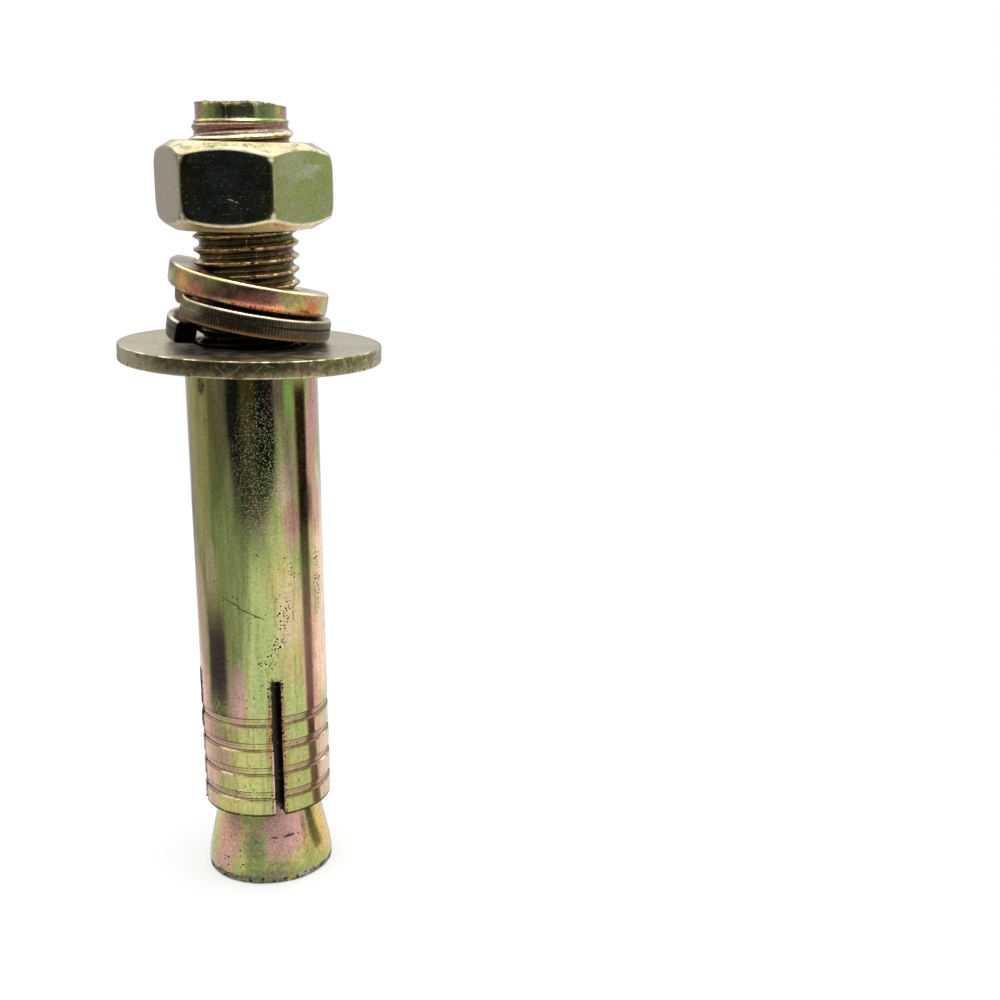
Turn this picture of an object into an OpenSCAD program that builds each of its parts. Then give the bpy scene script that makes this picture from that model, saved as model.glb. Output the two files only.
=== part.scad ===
// Sleeve anchor, also called an expansion bolt, for an M16 thread.
// A cone-footed stud carries a slotted sleeve, a wide flat washer, two spring washers and a nut.
// The origin is the middle of the cone's foot, and +Z runs up the stud.

/* [Cone stud] */
// How much narrower the foot is than the sleeve, so that both go down one drilled hole
foot_inset = 0.1; // [0:0.05:1]
// Height of the straight rim round the foot
foot_rim_h = 2.3; // [1:0.1:4]
// Bevel round the lower edge of the foot
foot_bevel = 0.5; // [0.2:0.1:1]
// Angle between the cone's side and the axis
cone_angle = 11.9; // [10:0.1:16]
// Diameter of the plain shank inside the sleeve
shank_d = 14.7; // [14:0.1:15.4]
// Outer diameter over the crests of the thread
thread_d = 15.8; // [15.2:0.1:15.9]
// Length of the thread, down from the plain end
thread_length = 47; // [40:1:60]
// Length over which the thread fades out at each of its ends
thread_fade = 1.4; // [0.8:0.1:2.5]
// Diameter of the plain end above the thread
plain_end_d = 13.4; // [12:0.1:14]
// Length of the plain end
plain_end_h = 2.4; // [1.5:0.1:4]
// How far the stud stands out above the nut
stand_out = 5; // [4:0.5:20]
// Slope of the sheared top face
end_slope = 3.5; // [0:0.5:6]

/* [Expansion sleeve] */
// Outer diameter of the sleeve
sleeve_d = 20.2; // [19:0.1:21.5]
// Diameter of the sleeve's bore
sleeve_bore_d = 16.1; // [16:0.05:17]
// Length of the sleeve
sleeve_length = 72; // [60:1:100]
// Bevel round the sleeve's outer edges
sleeve_bevel = 0.25; // [0.1:0.05:0.5]
// Height of the upper bevel at the lowest point of the sleeve's upper end
upper_bevel_h = 0.2; // [0.1:0.05:1]
// Number of slots that split the lower end into legs
slot_count = 4; // [2:1:6]
// Width of a slot
slot_w = 1.5; // [1:0.1:2.5]
// Length of a slot
slot_length = 22.8; // [18:0.1:40]
// Number of rolled saw-tooth grooves round the legs
groove_count = 4; // [1:1:5]
// Height of the lowest groove's ledge above the sleeve's lower end
groove_first = 2.9; // [2:0.1:6]
// Distance from one groove to the next
groove_spacing = 4.15; // [3:0.05:6]
// Height of a groove, from its ledge to where it runs out
groove_h = 1.3; // [0.8:0.1:2.5]
// Depth of a groove at its ledge
groove_depth = 0.3; // [0.1:0.05:0.6]

/* [Flat washer] */
// Outer diameter of the flat washer
washer_d = 40; // [34:1:50]
// Diameter of the flat washer's hole
washer_hole_d = 17.3; // [17:0.1:18]
// Thickness of the flat washer
washer_t = 2.6; // [2:0.1:4]
// Bevel round the punched edges of the flat washer
washer_bevel = 0.35; // [0.1:0.05:0.6]
// How far the sleeve's upper end is out of square, which tips the washer
washer_lean = 2; // [0:0.25:3]
// Direction in which the flat washer slopes down
washer_lean_side = -10; // [-180:5:180]

/* [Spring washers] */
// Inner diameter of both spring washers
spring_hole_d = 17.4; // [17.3:0.1:18]
// Outer diameter of the lower spring washer
lower_spring_d = 24.7; // [23.5:0.1:26]
// Outer diameter of the upper spring washer
upper_spring_d = 24.3; // [23.5:0.1:26]
// Thickness of the lower spring washer's wire, along the axis
lower_spring_t = 3.4; // [3:0.1:4.5]
// Thickness of the upper spring washer's wire, along the axis
upper_spring_t = 3.7; // [3:0.1:4.5]
// Corner radius of the spring wire
spring_round = 0.5; // [0.2:0.05:1]
// Drop of a spring washer from its high end to its low end
spring_rise = 3.9; // [2:0.1:6]
// Angle of the gap between the two cut ends
spring_split = 3; // [1:0.5:8]
// Slant of the cut ends from straight up
cut_slant = 12; // [0:1:25]
// Direction in which the lower spring washer is split
lower_split_side = -159; // [-180:1:180]
// Direction in which the upper spring washer is split
upper_split_side = 144; // [-180:1:180]
// Tilt of the lower spring washer, as it lies on the flat washer
lower_lean = 8.5; // [7:0.1:9.5]
// Direction in which the lower spring washer slopes down
lower_lean_side = -18; // [-60:1:10]
// Tilt of the upper spring washer, as it lies on the lower one
upper_lean = 9.9; // [8:0.1:10.5]
// Direction in which the upper spring washer slopes down
upper_lean_side = -12; // [-40:1:20]

/* [Nut] */
// Width across the nut's flats
nut_flats = 23.5; // [22:0.1:27]
// Height of the nut
nut_h = 13; // [10:0.5:17]
// Angle of the chamfers at the nut's ends
nut_chamfer_angle = 30; // [20:1:35]
// Diameter at which the nut's chamfers begin
nut_face_d = 20.6; // [19.5:0.1:23]
// Outer diameter of the countersinks at the nut's ends
nut_countersink_d = 17.2; // [16.5:0.1:18]
// How far the nut is turned round the axis
nut_turn = 38; // [0:1:60]
// Free thread between the upper spring washer and the nut
nut_gap = 4.1; // [2.5:0.1:8]

/* [Clearances] */
// Gap between the sleeve and the cone it stands on
sleeve_seat = 0.05; // [0.02:0.01:0.2]
// Gap between the sleeve and the flat washer
washer_seat = 0.05; // [0.02:0.01:0.2]
// Gap under each spring washer at its lowest point
spring_seat = 0.1; // [0.1:0.05:0.4]
// Radial play between the nut and the thread's crests
nut_play = 0.05; // [0.02:0.01:0.1]

/* [Hidden] */
$fn = 96;

// Rings and rounded-corner points of a spring washer's sweep, and samples taken to seat it
spring_rings = 52;
corner_steps = 2;
seat_samples = 72;
// Spare length of every cut beyond the surface it cuts
over = 1;

// Diameter of the cone at its foot
foot_d = sleeve_d - foot_inset;

// Heights of the seats, from the foot up
sleeve_z = foot_rim_h + (foot_d - sleeve_bore_d) / 2 / tan(cone_angle) + sleeve_seat;
sleeve_top_z = sleeve_z + sleeve_length;
washer_z = sleeve_top_z + washer_seat;
lower_spring_z = washer_z + washer_t + spring_seat + lowest_fit_over_washer();
upper_spring_z = lower_spring_z + spring_seat + lowest_fit_over_lower();
nut_z = upper_spring_z + highest_of_upper() + nut_gap;
stud_top_z = nut_z + nut_h + stand_out;
thread_top_z = stud_top_z - plain_end_h;
cone_top_z = foot_rim_h + (foot_d - shank_d) / 2 / tan(cone_angle);

// Share of a full turn that the helix has run through at direction a, from its high end
function turn_share(a, split_side) = ((a - split_side) % 360 + 360) % 360 / 360;

// Height of a helix's middle at direction a, before it is tilted
function helix_z(a, split_side) = spring_rise * (0.5 - turn_share(a, split_side));

// Height of a tilted helix at direction a and radius r, half a wire above or below its middle
function leaned_z(a, r, half_wire, split_side, lean, lean_side) =
    (helix_z(a, split_side) + half_wire) * cos(lean) - r * cos(a - lean_side) * sin(lean);

// Top (half = 0.5) or underside (half = -0.5) of each spring washer as it lies
function lower_spring_face(a, r, half) =
    leaned_z(a, r, half * lower_spring_t, lower_split_side, lower_lean, lower_lean_side);
function upper_spring_face(a, r, half) =
    leaned_z(a, r, half * upper_spring_t, upper_split_side, upper_lean, upper_lean_side);

// Slope of the flat washer's plane at direction a and radius r
function washer_plane_z(a, r) = -r * cos(a - washer_lean_side) * tan(washer_lean);

// Inner and outer radii at which a spring washer may touch what is under it
function touch_radii(d) = [spring_hole_d / 2, d / 2];

// Directions at which the seats are measured
function seat_angles() = [for (i = [0 : seat_samples - 1]) 360 * i / seat_samples];

// Lift that clears the flat washer everywhere under the lower spring washer
function lowest_fit_over_washer() = max([for (a = seat_angles(), r = touch_radii(lower_spring_d))
    washer_plane_z(a, r) - lower_spring_face(a, r, -0.5)]);

// Lift that clears the lower spring washer everywhere under the upper one
function lowest_fit_over_lower() = max([for (a = seat_angles(), r = touch_radii(upper_spring_d))
    lower_spring_face(a, r, 0.5) - upper_spring_face(a, r, -0.5)]);

// Height of the upper spring washer's highest point above its own middle
function highest_of_upper() = max([for (a = seat_angles(), r = touch_radii(upper_spring_d))
    upper_spring_face(a, r, 0.5)]);

// Section of the spring wire: a rectangle with rounded corners, as [radius, height] points
function wire_section(d, t) =
    let (inner = spring_hole_d / 2 + spring_round, outer = d / 2 - spring_round)
    let (side = t / 2 - spring_round)
    let (corners = [[outer, side, 0], [inner, side, 90], [inner, -side, 180], [outer, -side, 270]])
    [for (c = corners, k = [0 : corner_steps])
        let (a = c[2] + 90 * k / corner_steps)
        [c[0] + spring_round * cos(a), c[1] + spring_round * sin(a)]];

// Turns a solid's plane so that it slopes down towards one side
module lean(angle, side) {
    rotate([0, 0, side]) rotate([0, angle, 0]) rotate([0, 0, -side]) children();
}

// One spring washer: its wire swept down one left-hand turn between two slanted cut ends
module spring_washer(d, t, split_side) {
    section = wire_section(d, t);
    sides = len(section);
    sweep = 360 - spring_split;
    points = [for (i = [0 : spring_rings], p = section)
        let (slant = (i == 0 || i == spring_rings) ? p[1] * tan(cut_slant) / (d / 2) * 180 / PI : 0)
        let (a = split_side + spring_split / 2 + sweep * i / spring_rings + slant)
        [p[0] * cos(a), p[0] * sin(a), p[1] + spring_rise * (0.5 - i / spring_rings)]];
    skin = [for (i = [0 : spring_rings - 1], j = [0 : sides - 1], half = [0, 1])
        let (near = i * sides, far = near + sides, next = (j + 1) % sides)
        half == 0 ? [near + j, far + next, near + next] : [near + j, far + j, far + next]];
    last = spring_rings * sides;
    high_end = [for (j = [1 : sides - 2]) [0, j, j + 1]];
    low_end = [for (j = [1 : sides - 2]) [last, last + j + 1, last + j]];
    polyhedron(points, concat(skin, high_end, low_end), convexity = 6);
}

// Stud with its cone, shank, thread and plain end turned as one piece, sheared off at the top
module cone_stud() {
    foot_r = foot_d / 2;
    thread_r = thread_d / 2;
    end_r = plain_end_d / 2;
    end_spare = foot_d * tan(end_slope) + over;
    thread_foot_z = thread_top_z - thread_length;
    color("darkkhaki") difference() {
        rotate_extrude() polygon([
            [0, 0], [foot_r - foot_bevel, 0], [foot_r, foot_bevel], [foot_r, foot_rim_h],
            [shank_d / 2, cone_top_z],
            [shank_d / 2, thread_foot_z], [thread_r, thread_foot_z + thread_fade],
            [thread_r, thread_top_z - thread_fade], [end_r, thread_top_z],
            [end_r, stud_top_z + end_spare], [0, stud_top_z + end_spare]
        ]);
        translate([0, 0, stud_top_z]) lean(end_slope, washer_lean_side)
            translate([-foot_d, -foot_d, 0]) cube([2 * foot_d, 2 * foot_d, 2 * end_spare]);
    }
}

// Outer profile of the sleeve's grooved stretch, from its lower end up
function groove_points() = [for (i = [0 : groove_count - 1])
    let (ledge = sleeve_z + groove_first + i * groove_spacing, r = sleeve_d / 2)
    each [[r, ledge], [r - groove_depth, ledge], [r, ledge + groove_h]]];

// Tube with saw-tooth grooves, split into legs by slots, its upper end a little out of square
module expansion_sleeve() {
    outer = sleeve_d / 2;
    bore = sleeve_bore_d / 2;
    top_rise = outer * tan(washer_lean);
    top_spare = 2 * top_rise + over;
    color("yellowgreen") difference() {
        rotate_extrude() polygon(concat(
            [[bore, sleeve_z], [outer - sleeve_bevel, sleeve_z], [outer, sleeve_z + sleeve_bevel]],
            groove_points(),
            [[outer, sleeve_top_z - top_rise - upper_bevel_h],
                [outer - sleeve_bevel, sleeve_top_z + top_rise],
                [outer - sleeve_bevel, sleeve_top_z + top_spare], [bore, sleeve_top_z + top_spare]]
        ));
        for (i = [0 : slot_count - 1])
            rotate([0, 0, 360 * i / slot_count - 90])
                translate([bore / 2, -slot_w / 2, sleeve_z - over])
                    cube([outer, slot_w, slot_length + over]);
        translate([0, 0, sleeve_top_z]) lean(washer_lean, washer_lean_side)
            translate([-sleeve_d, -sleeve_d, 0]) cube([2 * sleeve_d, 2 * sleeve_d, 2 * top_spare]);
    }
}

// Wide washer that spreads the nut's load over the work
module flat_washer() {
    outer = washer_d / 2;
    hole = washer_hole_d / 2;
    bevel = washer_bevel;
    color("tan") translate([0, 0, washer_z]) lean(washer_lean, washer_lean_side)
        rotate_extrude() polygon([
            [hole, 0], [outer - bevel, 0], [outer, bevel], [outer, washer_t - bevel],
            [outer - bevel, washer_t], [hole, washer_t]
        ]);
}

module spring_washer_lower() {
    color("dimgray") translate([0, 0, lower_spring_z]) lean(lower_lean, lower_lean_side)
        spring_washer(lower_spring_d, lower_spring_t, lower_split_side);
}

module spring_washer_upper() {
    color("peru") translate([0, 0, upper_spring_z]) lean(upper_lean, upper_lean_side)
        spring_washer(upper_spring_d, upper_spring_t, upper_split_side);
}

// Hexagon nut, chamfered and countersunk at both ends
module hex_nut() {
    corner_r = nut_flats / 2 / cos(30);
    bore_r = thread_d / 2 + nut_play;
    face_r = nut_face_d / 2;
    sink_r = nut_countersink_d / 2;
    corner_drop = (corner_r - face_r) * tan(nut_chamfer_angle);
    sink_depth = sink_r - bore_r;
    color("olivedrab") translate([0, 0, nut_z]) difference() {
        intersection() {
            rotate([0, 0, nut_turn]) cylinder(h = nut_h, r = corner_r, $fn = 6);
            rotate_extrude() polygon([
                [0, 0], [face_r, 0], [corner_r, corner_drop], [corner_r, nut_h - corner_drop],
                [face_r, nut_h], [0, nut_h]
            ]);
        }
        translate([0, 0, -over]) cylinder(h = nut_h + 2 * over, r = bore_r);
        cylinder(h = sink_depth, r1 = sink_r, r2 = bore_r);
        translate([0, 0, nut_h - sink_depth]) cylinder(h = sink_depth, r1 = bore_r, r2 = sink_r);
    }
}

cone_stud();
expansion_sleeve();
flat_washer();
spring_washer_lower();
spring_washer_upper();
hex_nut();
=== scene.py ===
import math

import bmesh
import bpy
import numpy as np
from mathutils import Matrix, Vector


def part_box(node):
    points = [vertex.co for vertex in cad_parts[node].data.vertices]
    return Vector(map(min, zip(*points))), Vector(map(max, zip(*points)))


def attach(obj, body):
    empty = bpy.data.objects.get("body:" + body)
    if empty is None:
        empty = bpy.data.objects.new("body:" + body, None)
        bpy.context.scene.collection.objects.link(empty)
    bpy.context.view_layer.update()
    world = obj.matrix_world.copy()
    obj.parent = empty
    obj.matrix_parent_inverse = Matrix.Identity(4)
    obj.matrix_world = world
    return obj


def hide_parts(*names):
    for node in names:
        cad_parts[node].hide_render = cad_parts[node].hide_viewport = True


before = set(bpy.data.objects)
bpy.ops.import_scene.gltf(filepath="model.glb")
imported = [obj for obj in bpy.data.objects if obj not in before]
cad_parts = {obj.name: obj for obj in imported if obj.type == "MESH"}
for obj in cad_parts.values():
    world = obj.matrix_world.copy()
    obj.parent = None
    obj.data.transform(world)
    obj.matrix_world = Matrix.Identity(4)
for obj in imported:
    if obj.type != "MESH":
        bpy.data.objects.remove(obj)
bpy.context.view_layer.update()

# Lengths are in millimetres and angles in degrees until a mesh or a lamp is made
MM = 0.001


def node_box(name):
    """Lowest and highest corner of a CAD node, in millimetres."""
    low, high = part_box(name)
    return low / MM, high / MM


stud_high = node_box("cone_stud")[1]
sleeve_low, sleeve_high = node_box("expansion_sleeve")
washer_low = node_box("flat_washer")[0]
nut_low, nut_high = node_box("hex_nut")

# Direction of the photograph's camera as seen from the bolt
FRONT = -99.65

# Stud
FOOT_R = stud_high.x
FOOT_BEVEL = 0.5
FOOT_RIM_H = 2.3
CONE_ANGLE = 11.9
SHANK_R = 7.35
CREST_R = 7.9
ROOT_R = 6.98
PITCH = 2.0
CREST_LEVEL = 101.7
THREAD_LENGTH = 47.0
THREAD_FADE = 3.3
END_R = 6.7
END_H = 2.4
STUD_TOP = stud_high.z - 0.41
END_FALL = 9.5
END_FLAT = 2.0
END_TEAR = 0.11
END_WAVE = 0.06
THREAD_TOP = STUD_TOP - END_H
THREAD_LOW = THREAD_TOP - THREAD_LENGTH

# Sleeve
SLEEVE_R = 10.1
BORE_R = 8.05
SLEEVE_Z = sleeve_low.z
LEAN = 2.0
LEAN_SIDE = -10.0
SLEEVE_TOP = sleeve_high.z - SLEEVE_R * math.tan(math.radians(LEAN))
SLOT_COUNT = 4
SLOT_HALF = 0.75
SLOT_TOP = SLEEVE_Z + 22.8
SLOT_CORNER = 0.35
SLOT_BEVEL = 0.26
BURR_H = 0.07
BURR_REACH = 0.16
GROOVE_LEDGES = [SLEEVE_Z + 2.9 + 4.15 * i for i in range(4)]
GROOVE_H = 1.3
GROOVE_DEPTH = 0.3
GROOVE_LIP = 0.09

# Flat washer
WASHER_R = 20.0
WASHER_HOLE_R = 8.65
WASHER_T = 2.6
WASHER_Z = washer_low.z + (WASHER_R - 0.35) * math.sin(math.radians(LEAN))

# Spring washers
SPRING_HOLE_R = 8.7
SPRING_RISE = 3.9
SPRING_SPLIT = 3.0
CUT_SLANT = 12.0
RIB_DEPTH = 0.03
KICK_REACH = 0.5
# Outer radius, thickness of the wire, side of the split, tilt, side it tilts to, kick of the high end
LOWER_SPRING = (12.35, 3.4, -159, 8.5, -18, 0.45)
UPPER_SPRING = (12.15, 3.7, 147, 9.4, -12, 0.0)

# Nut
NUT_Z = nut_low.z
NUT_TOP = nut_high.z
NUT_APOTHEM = 11.75
NUT_FACE_R = 10.3
NUT_CHAMFER = 30.0
NUT_SINK_R = 8.6
NUT_TURN = 38.0
NUT_MINOR_R = 7.12
# Radius of the upright edges along their middle, and how much is added where they run out
NUT_EDGE_R = 0.65
NUT_EDGE_MORE = 1.75
NUT_EDGE_RUN = 0.7
TOP_FALL = 1.5
THREAD_PLAY = 0.07

# Edges sharper than this are shaded sharp
SHARP_ANGLE = 38


def facing(phi, radius, height):
    """Point on the bolt, phi degrees to the right of the side that faces the camera."""
    a = math.radians(FRONT + phi)
    return (radius * math.cos(a), radius * math.sin(a), height)


def smooth(value, low, high):
    """0 below low, 1 above high, and an even curve between."""
    t = np.clip((np.asarray(value, float) - low) / (high - low), 0, 1)
    return t * t * (3 - 2 * t)


def ragged(count, grain, seed):
    """A closed run of random values between about -1 and 1, with waves of about `grain` steps."""
    noise = np.fft.rfft(np.random.default_rng(seed).normal(size=count))
    keep = np.exp(-((np.arange(len(noise)) * grain / count) ** 2))
    run = np.fft.irfft(noise * keep, count)
    return run / (2 * run.std())


def fillet(corners, radii, steps=4):
    """Closed polygon with each corner rounded to its radius, as an array of points."""
    corners = np.asarray(corners, float)
    out = []
    for i, (p, r) in enumerate(zip(corners, radii)):
        if r == 0:
            out.append(p)
            continue
        to_last = corners[i - 1] - p
        to_next = corners[(i + 1) % len(corners)] - p
        a, b = np.linalg.norm(to_last), np.linalg.norm(to_next)
        u, v = to_last / a, to_next / b
        half = math.acos(np.clip(u @ v, -1, 1)) / 2
        cut = min(r / math.tan(half), 0.45 * a, 0.45 * b)
        for k in range(steps + 1):
            t = k / steps
            out.append(p + u * cut * (1 - t) ** 2 + v * cut * t**2)
    return np.array(out)


def divided(outline, longest):
    """A closed outline with points added so that no side is much longer than `longest`."""
    points = []
    for i, p in enumerate(outline):
        q = outline[(i + 1) % len(outline)]
        cuts = max(1, int(np.linalg.norm(q - p) / longest))
        points += [p + (q - p) * k / cuts for k in range(cuts)]
    return np.array(points)


def bump(value, middle, width):
    """1 at the middle, falling away to 0 on both sides."""
    return np.exp(-(((value - middle) / width) ** 2))


def lean(points, angle, side):
    """Points with their level plane sloped down towards one side."""
    a, s = math.radians(angle), math.radians(side)
    c, k = math.cos(s), math.sin(s)
    turn = np.array([[c, -k, 0], [k, c, 0], [0, 0, 1]])
    tip = np.array([[math.cos(a), 0, math.sin(a)], [0, 1, 0], [-math.sin(a), 0, math.cos(a)]])
    return points @ (turn @ tip @ turn.T).T


def add_object(name, data):
    """A new object in the scene; its place is in its data."""
    thing = bpy.data.objects.new(name, data)
    bpy.context.collection.objects.link(thing)
    return thing


def add_mesh(name, points, faces, material, masks):
    """A mesh from points in millimetres, with one value of each mask for every point."""
    mesh = bpy.data.meshes.new(name)
    mesh.from_pydata([tuple(p) for p in np.asarray(points) * MM], [], faces)
    for label, values in masks.items():
        mask = mesh.attributes.new(label, "FLOAT", "POINT")
        mask.data.foreach_set("value", np.asarray(values, np.float32).ravel())
    mesh.materials.append(material)
    return mesh


def make_piece(name, points, faces, body, node, material, masks):
    """One solid piece, welded and smoothed, that rides on its body in place of its CAD node."""
    mesh = add_mesh(name, points, faces, material, masks)
    work = bmesh.new()
    work.from_mesh(mesh)
    bmesh.ops.remove_doubles(work, verts=work.verts, dist=2e-6)
    bmesh.ops.dissolve_degenerate(work, edges=work.edges, dist=1e-6)
    bmesh.ops.recalc_face_normals(work, faces=work.faces)
    work.to_mesh(mesh)
    work.free()
    mesh.shade_smooth()
    mesh.set_sharp_from_angle(angle=math.radians(SHARP_ANGLE))
    piece = add_object(name, mesh)
    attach(piece, body)
    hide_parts(node)


def skin(columns, rows, first=0, close_rows=False, seam=None):
    """Faces of a grid of columns that goes once round; seam has each row's partner across the last gap."""
    faces = []
    for c in range(columns):
        across = (c + 1) % columns
        for r in range(rows if close_rows else rows - 1):
            up = (r + 1) % rows
            near, far = (r, up) if across or seam is None else (seam[r], seam[up])
            quad = [c * rows + r, across * rows + near, across * rows + far, c * rows + up]
            faces.append([first + v for v in quad])
    return faces


# Heights of one thread turn's points, as shares of the pitch from a crest, and the form's height there
THREAD_STEPS = [0, 0.05, 0.085, 0.125, 0.19, 0.25, 0.31, 0.365, 0.415, 0.5]
THREAD_FORM = [1, 0.995, 0.93, 0.82, 0.61, 0.39, 0.19, 0.06, 0.01, 0]
TURN_STEPS = THREAD_STEPS + [1 - s for s in THREAD_STEPS[-2:0:-1]]
TURN_FORM = THREAD_FORM + THREAD_FORM[-2:0:-1]


def thread_rows(crest, low, high, share):
    """Heights along the thread's helix between two levels, the form at each, and the seam's partners.

    crest is a crest's level on the first column, and share the part of a turn that each column is past it.
    """
    start = crest - PITCH * (math.ceil((crest - low) / PITCH) + 1)
    turns = math.ceil((np.max(high) - start) / PITCH) + 1
    steps = np.array([turn + s for turn in range(turns) for s in TURN_STEPS])
    heights = np.clip(start + PITCH * (steps[None] + share[:, None]), low, high)
    partners = np.minimum(np.arange(len(steps)) + len(TURN_STEPS), len(steps) - 1)
    return heights, np.array(TURN_FORM * turns), partners


def ring_points(radius, height, angles):
    """Grid of points from radii and heights (columns x rows) and one angle for each column."""
    a = np.radians(np.broadcast_to(np.asarray(angles)[:, None], radius.shape))
    return np.stack([radius * np.cos(a), radius * np.sin(a), height], -1)


def cone_stud(material):
    columns = 160
    angles = 360 * np.arange(columns) / columns
    one = np.ones(columns)[:, None]
    taper = math.tan(math.radians(CONE_ANGLE))
    cone_top = FOOT_RIM_H + (FOOT_R - SHANK_R) / taper

    # Foot, cone and shank: radius, height and how far the finish is worn, from the middle of the foot up
    body = [(0, 0, 0.3), (3, 0, 0.3), (6, 0, 0.4), (8.6, 0, 0.6)]
    for a in np.radians([0, 22, 45, 68, 90]):
        body.append((FOOT_R - FOOT_BEVEL * (1 - math.sin(a)), FOOT_BEVEL * (1 - math.cos(a)), 1))
    body += [(FOOT_R, 0.9, 0.85), (FOOT_R, 1.25, 0.55), (FOOT_R - 0.01, 1.6, 0.3), (FOOT_R - 0.05, 2.1, 0.1)]
    body += [(FOOT_R - 0.15, 2.6, 0)]
    body += [(FOOT_R - (z - FOOT_RIM_H) * taper, z, 0) for z in np.linspace(3.1, cone_top - 0.4, 14)]
    body += [(SHANK_R, cone_top + 0.5, 0), (SHANK_R, 40, 0), (SHANK_R, THREAD_LOW, 0)]
    body = np.array(body)
    dents = (ragged(columns, 5, 3) * 0.03 + ragged(columns, 16, 4) * 0.03)[:, None]
    low_r = body[None, :, 0] * one + dents * smooth(body[None, :, 2], 0.2, 0.9) * (body[None, :, 0] > 9)
    low_z = body[None, :, 1] * one

    # Thread, which fades in at both ends
    height, form, partners = thread_rows(CREST_LEVEL, THREAD_LOW, THREAD_TOP, np.arange(columns) / columns)
    core = ROOT_R - 0.1 * smooth(height, THREAD_TOP - 2, THREAD_TOP - 0.6)
    core += 0.16 * smooth(height, THREAD_TOP - 0.35, THREAD_TOP - 0.08)
    core += (SHANK_R - ROOT_R) * smooth(-height, -THREAD_LOW - 1, -THREAD_LOW)
    fade = np.clip((THREAD_TOP + 0.65 - height) / THREAD_FADE, 0, 1) * smooth(THREAD_TOP - height, 0.1, 0.6)
    fade = fade * smooth(height - THREAD_LOW, 0, 2)
    laps = ragged(columns, 6, 8)[:, None] * 0.012
    thread_r = core + (CREST_R - ROOT_R + laps) * form[None] * fade

    # Plain end and its sheared face, level on one side and falling away on the other
    end = [(ROOT_R - 0.06, THREAD_TOP + 0.04), (END_R + 0.03, THREAD_TOP + 0.26)]
    end += [(END_R, THREAD_TOP + z) for z in (0.34, 0.9, 1.6)]
    end += [(END_R + 0.02, STUD_TOP - 0.3), (END_R - 0.05, STUD_TOP - 0.1), (END_R - 0.25, STUD_TOP)]
    end = np.array(end + [(r, STUD_TOP) for r in (6.0, 5.4, 4.6, 3.6, 2.4, 1.2, 0)])
    end_r = end[None, :, 0] * one
    along = end_r * np.cos(np.radians(angles - LEAN_SIDE))[:, None]
    shear = 0.36 - np.maximum(along - END_FLAT, 0) * math.tan(math.radians(END_FALL))
    torn = ragged(columns, 2.5, 5)[:, None] * END_TEAR + ragged(columns, 9, 6)[:, None] * END_WAVE
    sheared = smooth(end[None, :, 1], THREAD_TOP + 0.9, STUD_TOP)
    end_z = end[None, :, 1] + sheared * (shear + torn * smooth(end_r, 1, 6.4))
    end_z += 0.05 * sheared * np.sin(end_r * 3.1 + ragged(columns, 12, 7)[:, None] * 2) * (end_r < 6.3)
    end_r = end_r + torn * 0.5 * (end[None, :, 1] > STUD_TOP - 0.3) * (end_r > 6)

    radius = np.concatenate([low_r, thread_r, end_r], 1)
    level = np.concatenate([low_z, height, end_z], 1)
    rows = radius.shape[1]
    seam = np.arange(rows)
    first = low_r.shape[1]
    seam[first : first + len(partners)] = first + partners
    wear_and_highlight = np.concatenate([body[:, 2], np.zeros(len(form)), np.zeros(len(end))])
    wear_and_highlight = wear_and_highlight[None] * (0.8 + 0.5 * ragged(columns, 7, 9)[:, None])
    crest = np.concatenate([0 * low_r, form[None] * fade, end_r * 0], 1)
    sheared_face = smooth(end[None, :, 1], STUD_TOP - 0.35, STUD_TOP - 0.05) * one
    cut = np.concatenate([0 * low_r, 0 * height, sheared_face], 1)
    masks = {"wear_and_highlight": wear_and_highlight, "crest": crest, "cut": cut}
    points = ring_points(radius, level, angles).reshape(-1, 3)
    faces = skin(columns, rows, seam=seam)
    make_piece("stud", points, faces, "stud", "cone_stud", material, masks)


def groove_profile():
    """Heights and depths of the sleeve's outer face, from its lower end to above the last groove."""
    rows = [(SLEEVE_Z, 0.22), (SLEEVE_Z + 0.05, 0.1), (SLEEVE_Z + 0.14, 0.03), (SLEEVE_Z + 0.28, 0)]
    for ledge in GROOVE_LEDGES:
        rows += [(rows[-1][0] * (1 - t) + (ledge - 0.16) * t, 0) for t in (0.35, 0.7, 1)]
        rows += [(ledge - 0.08, -0.012), (ledge - 0.03, 0.02), (ledge, 0.1), (ledge + 0.035, 0.24)]
        rows += [(ledge + 0.1, GROOVE_DEPTH)]
        for t in (0.25, 0.5, 0.75, 1):
            rows.append((ledge + 0.1 + (GROOVE_H - 0.1) * t, GROOVE_DEPTH - (GROOVE_DEPTH - GROOVE_LIP) * t))
        end = ledge + GROOVE_H
        rows += [(end + 0.03, -0.012), (end + 0.12, -0.008), (end + 0.3, 0)]
    return rows


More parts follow.
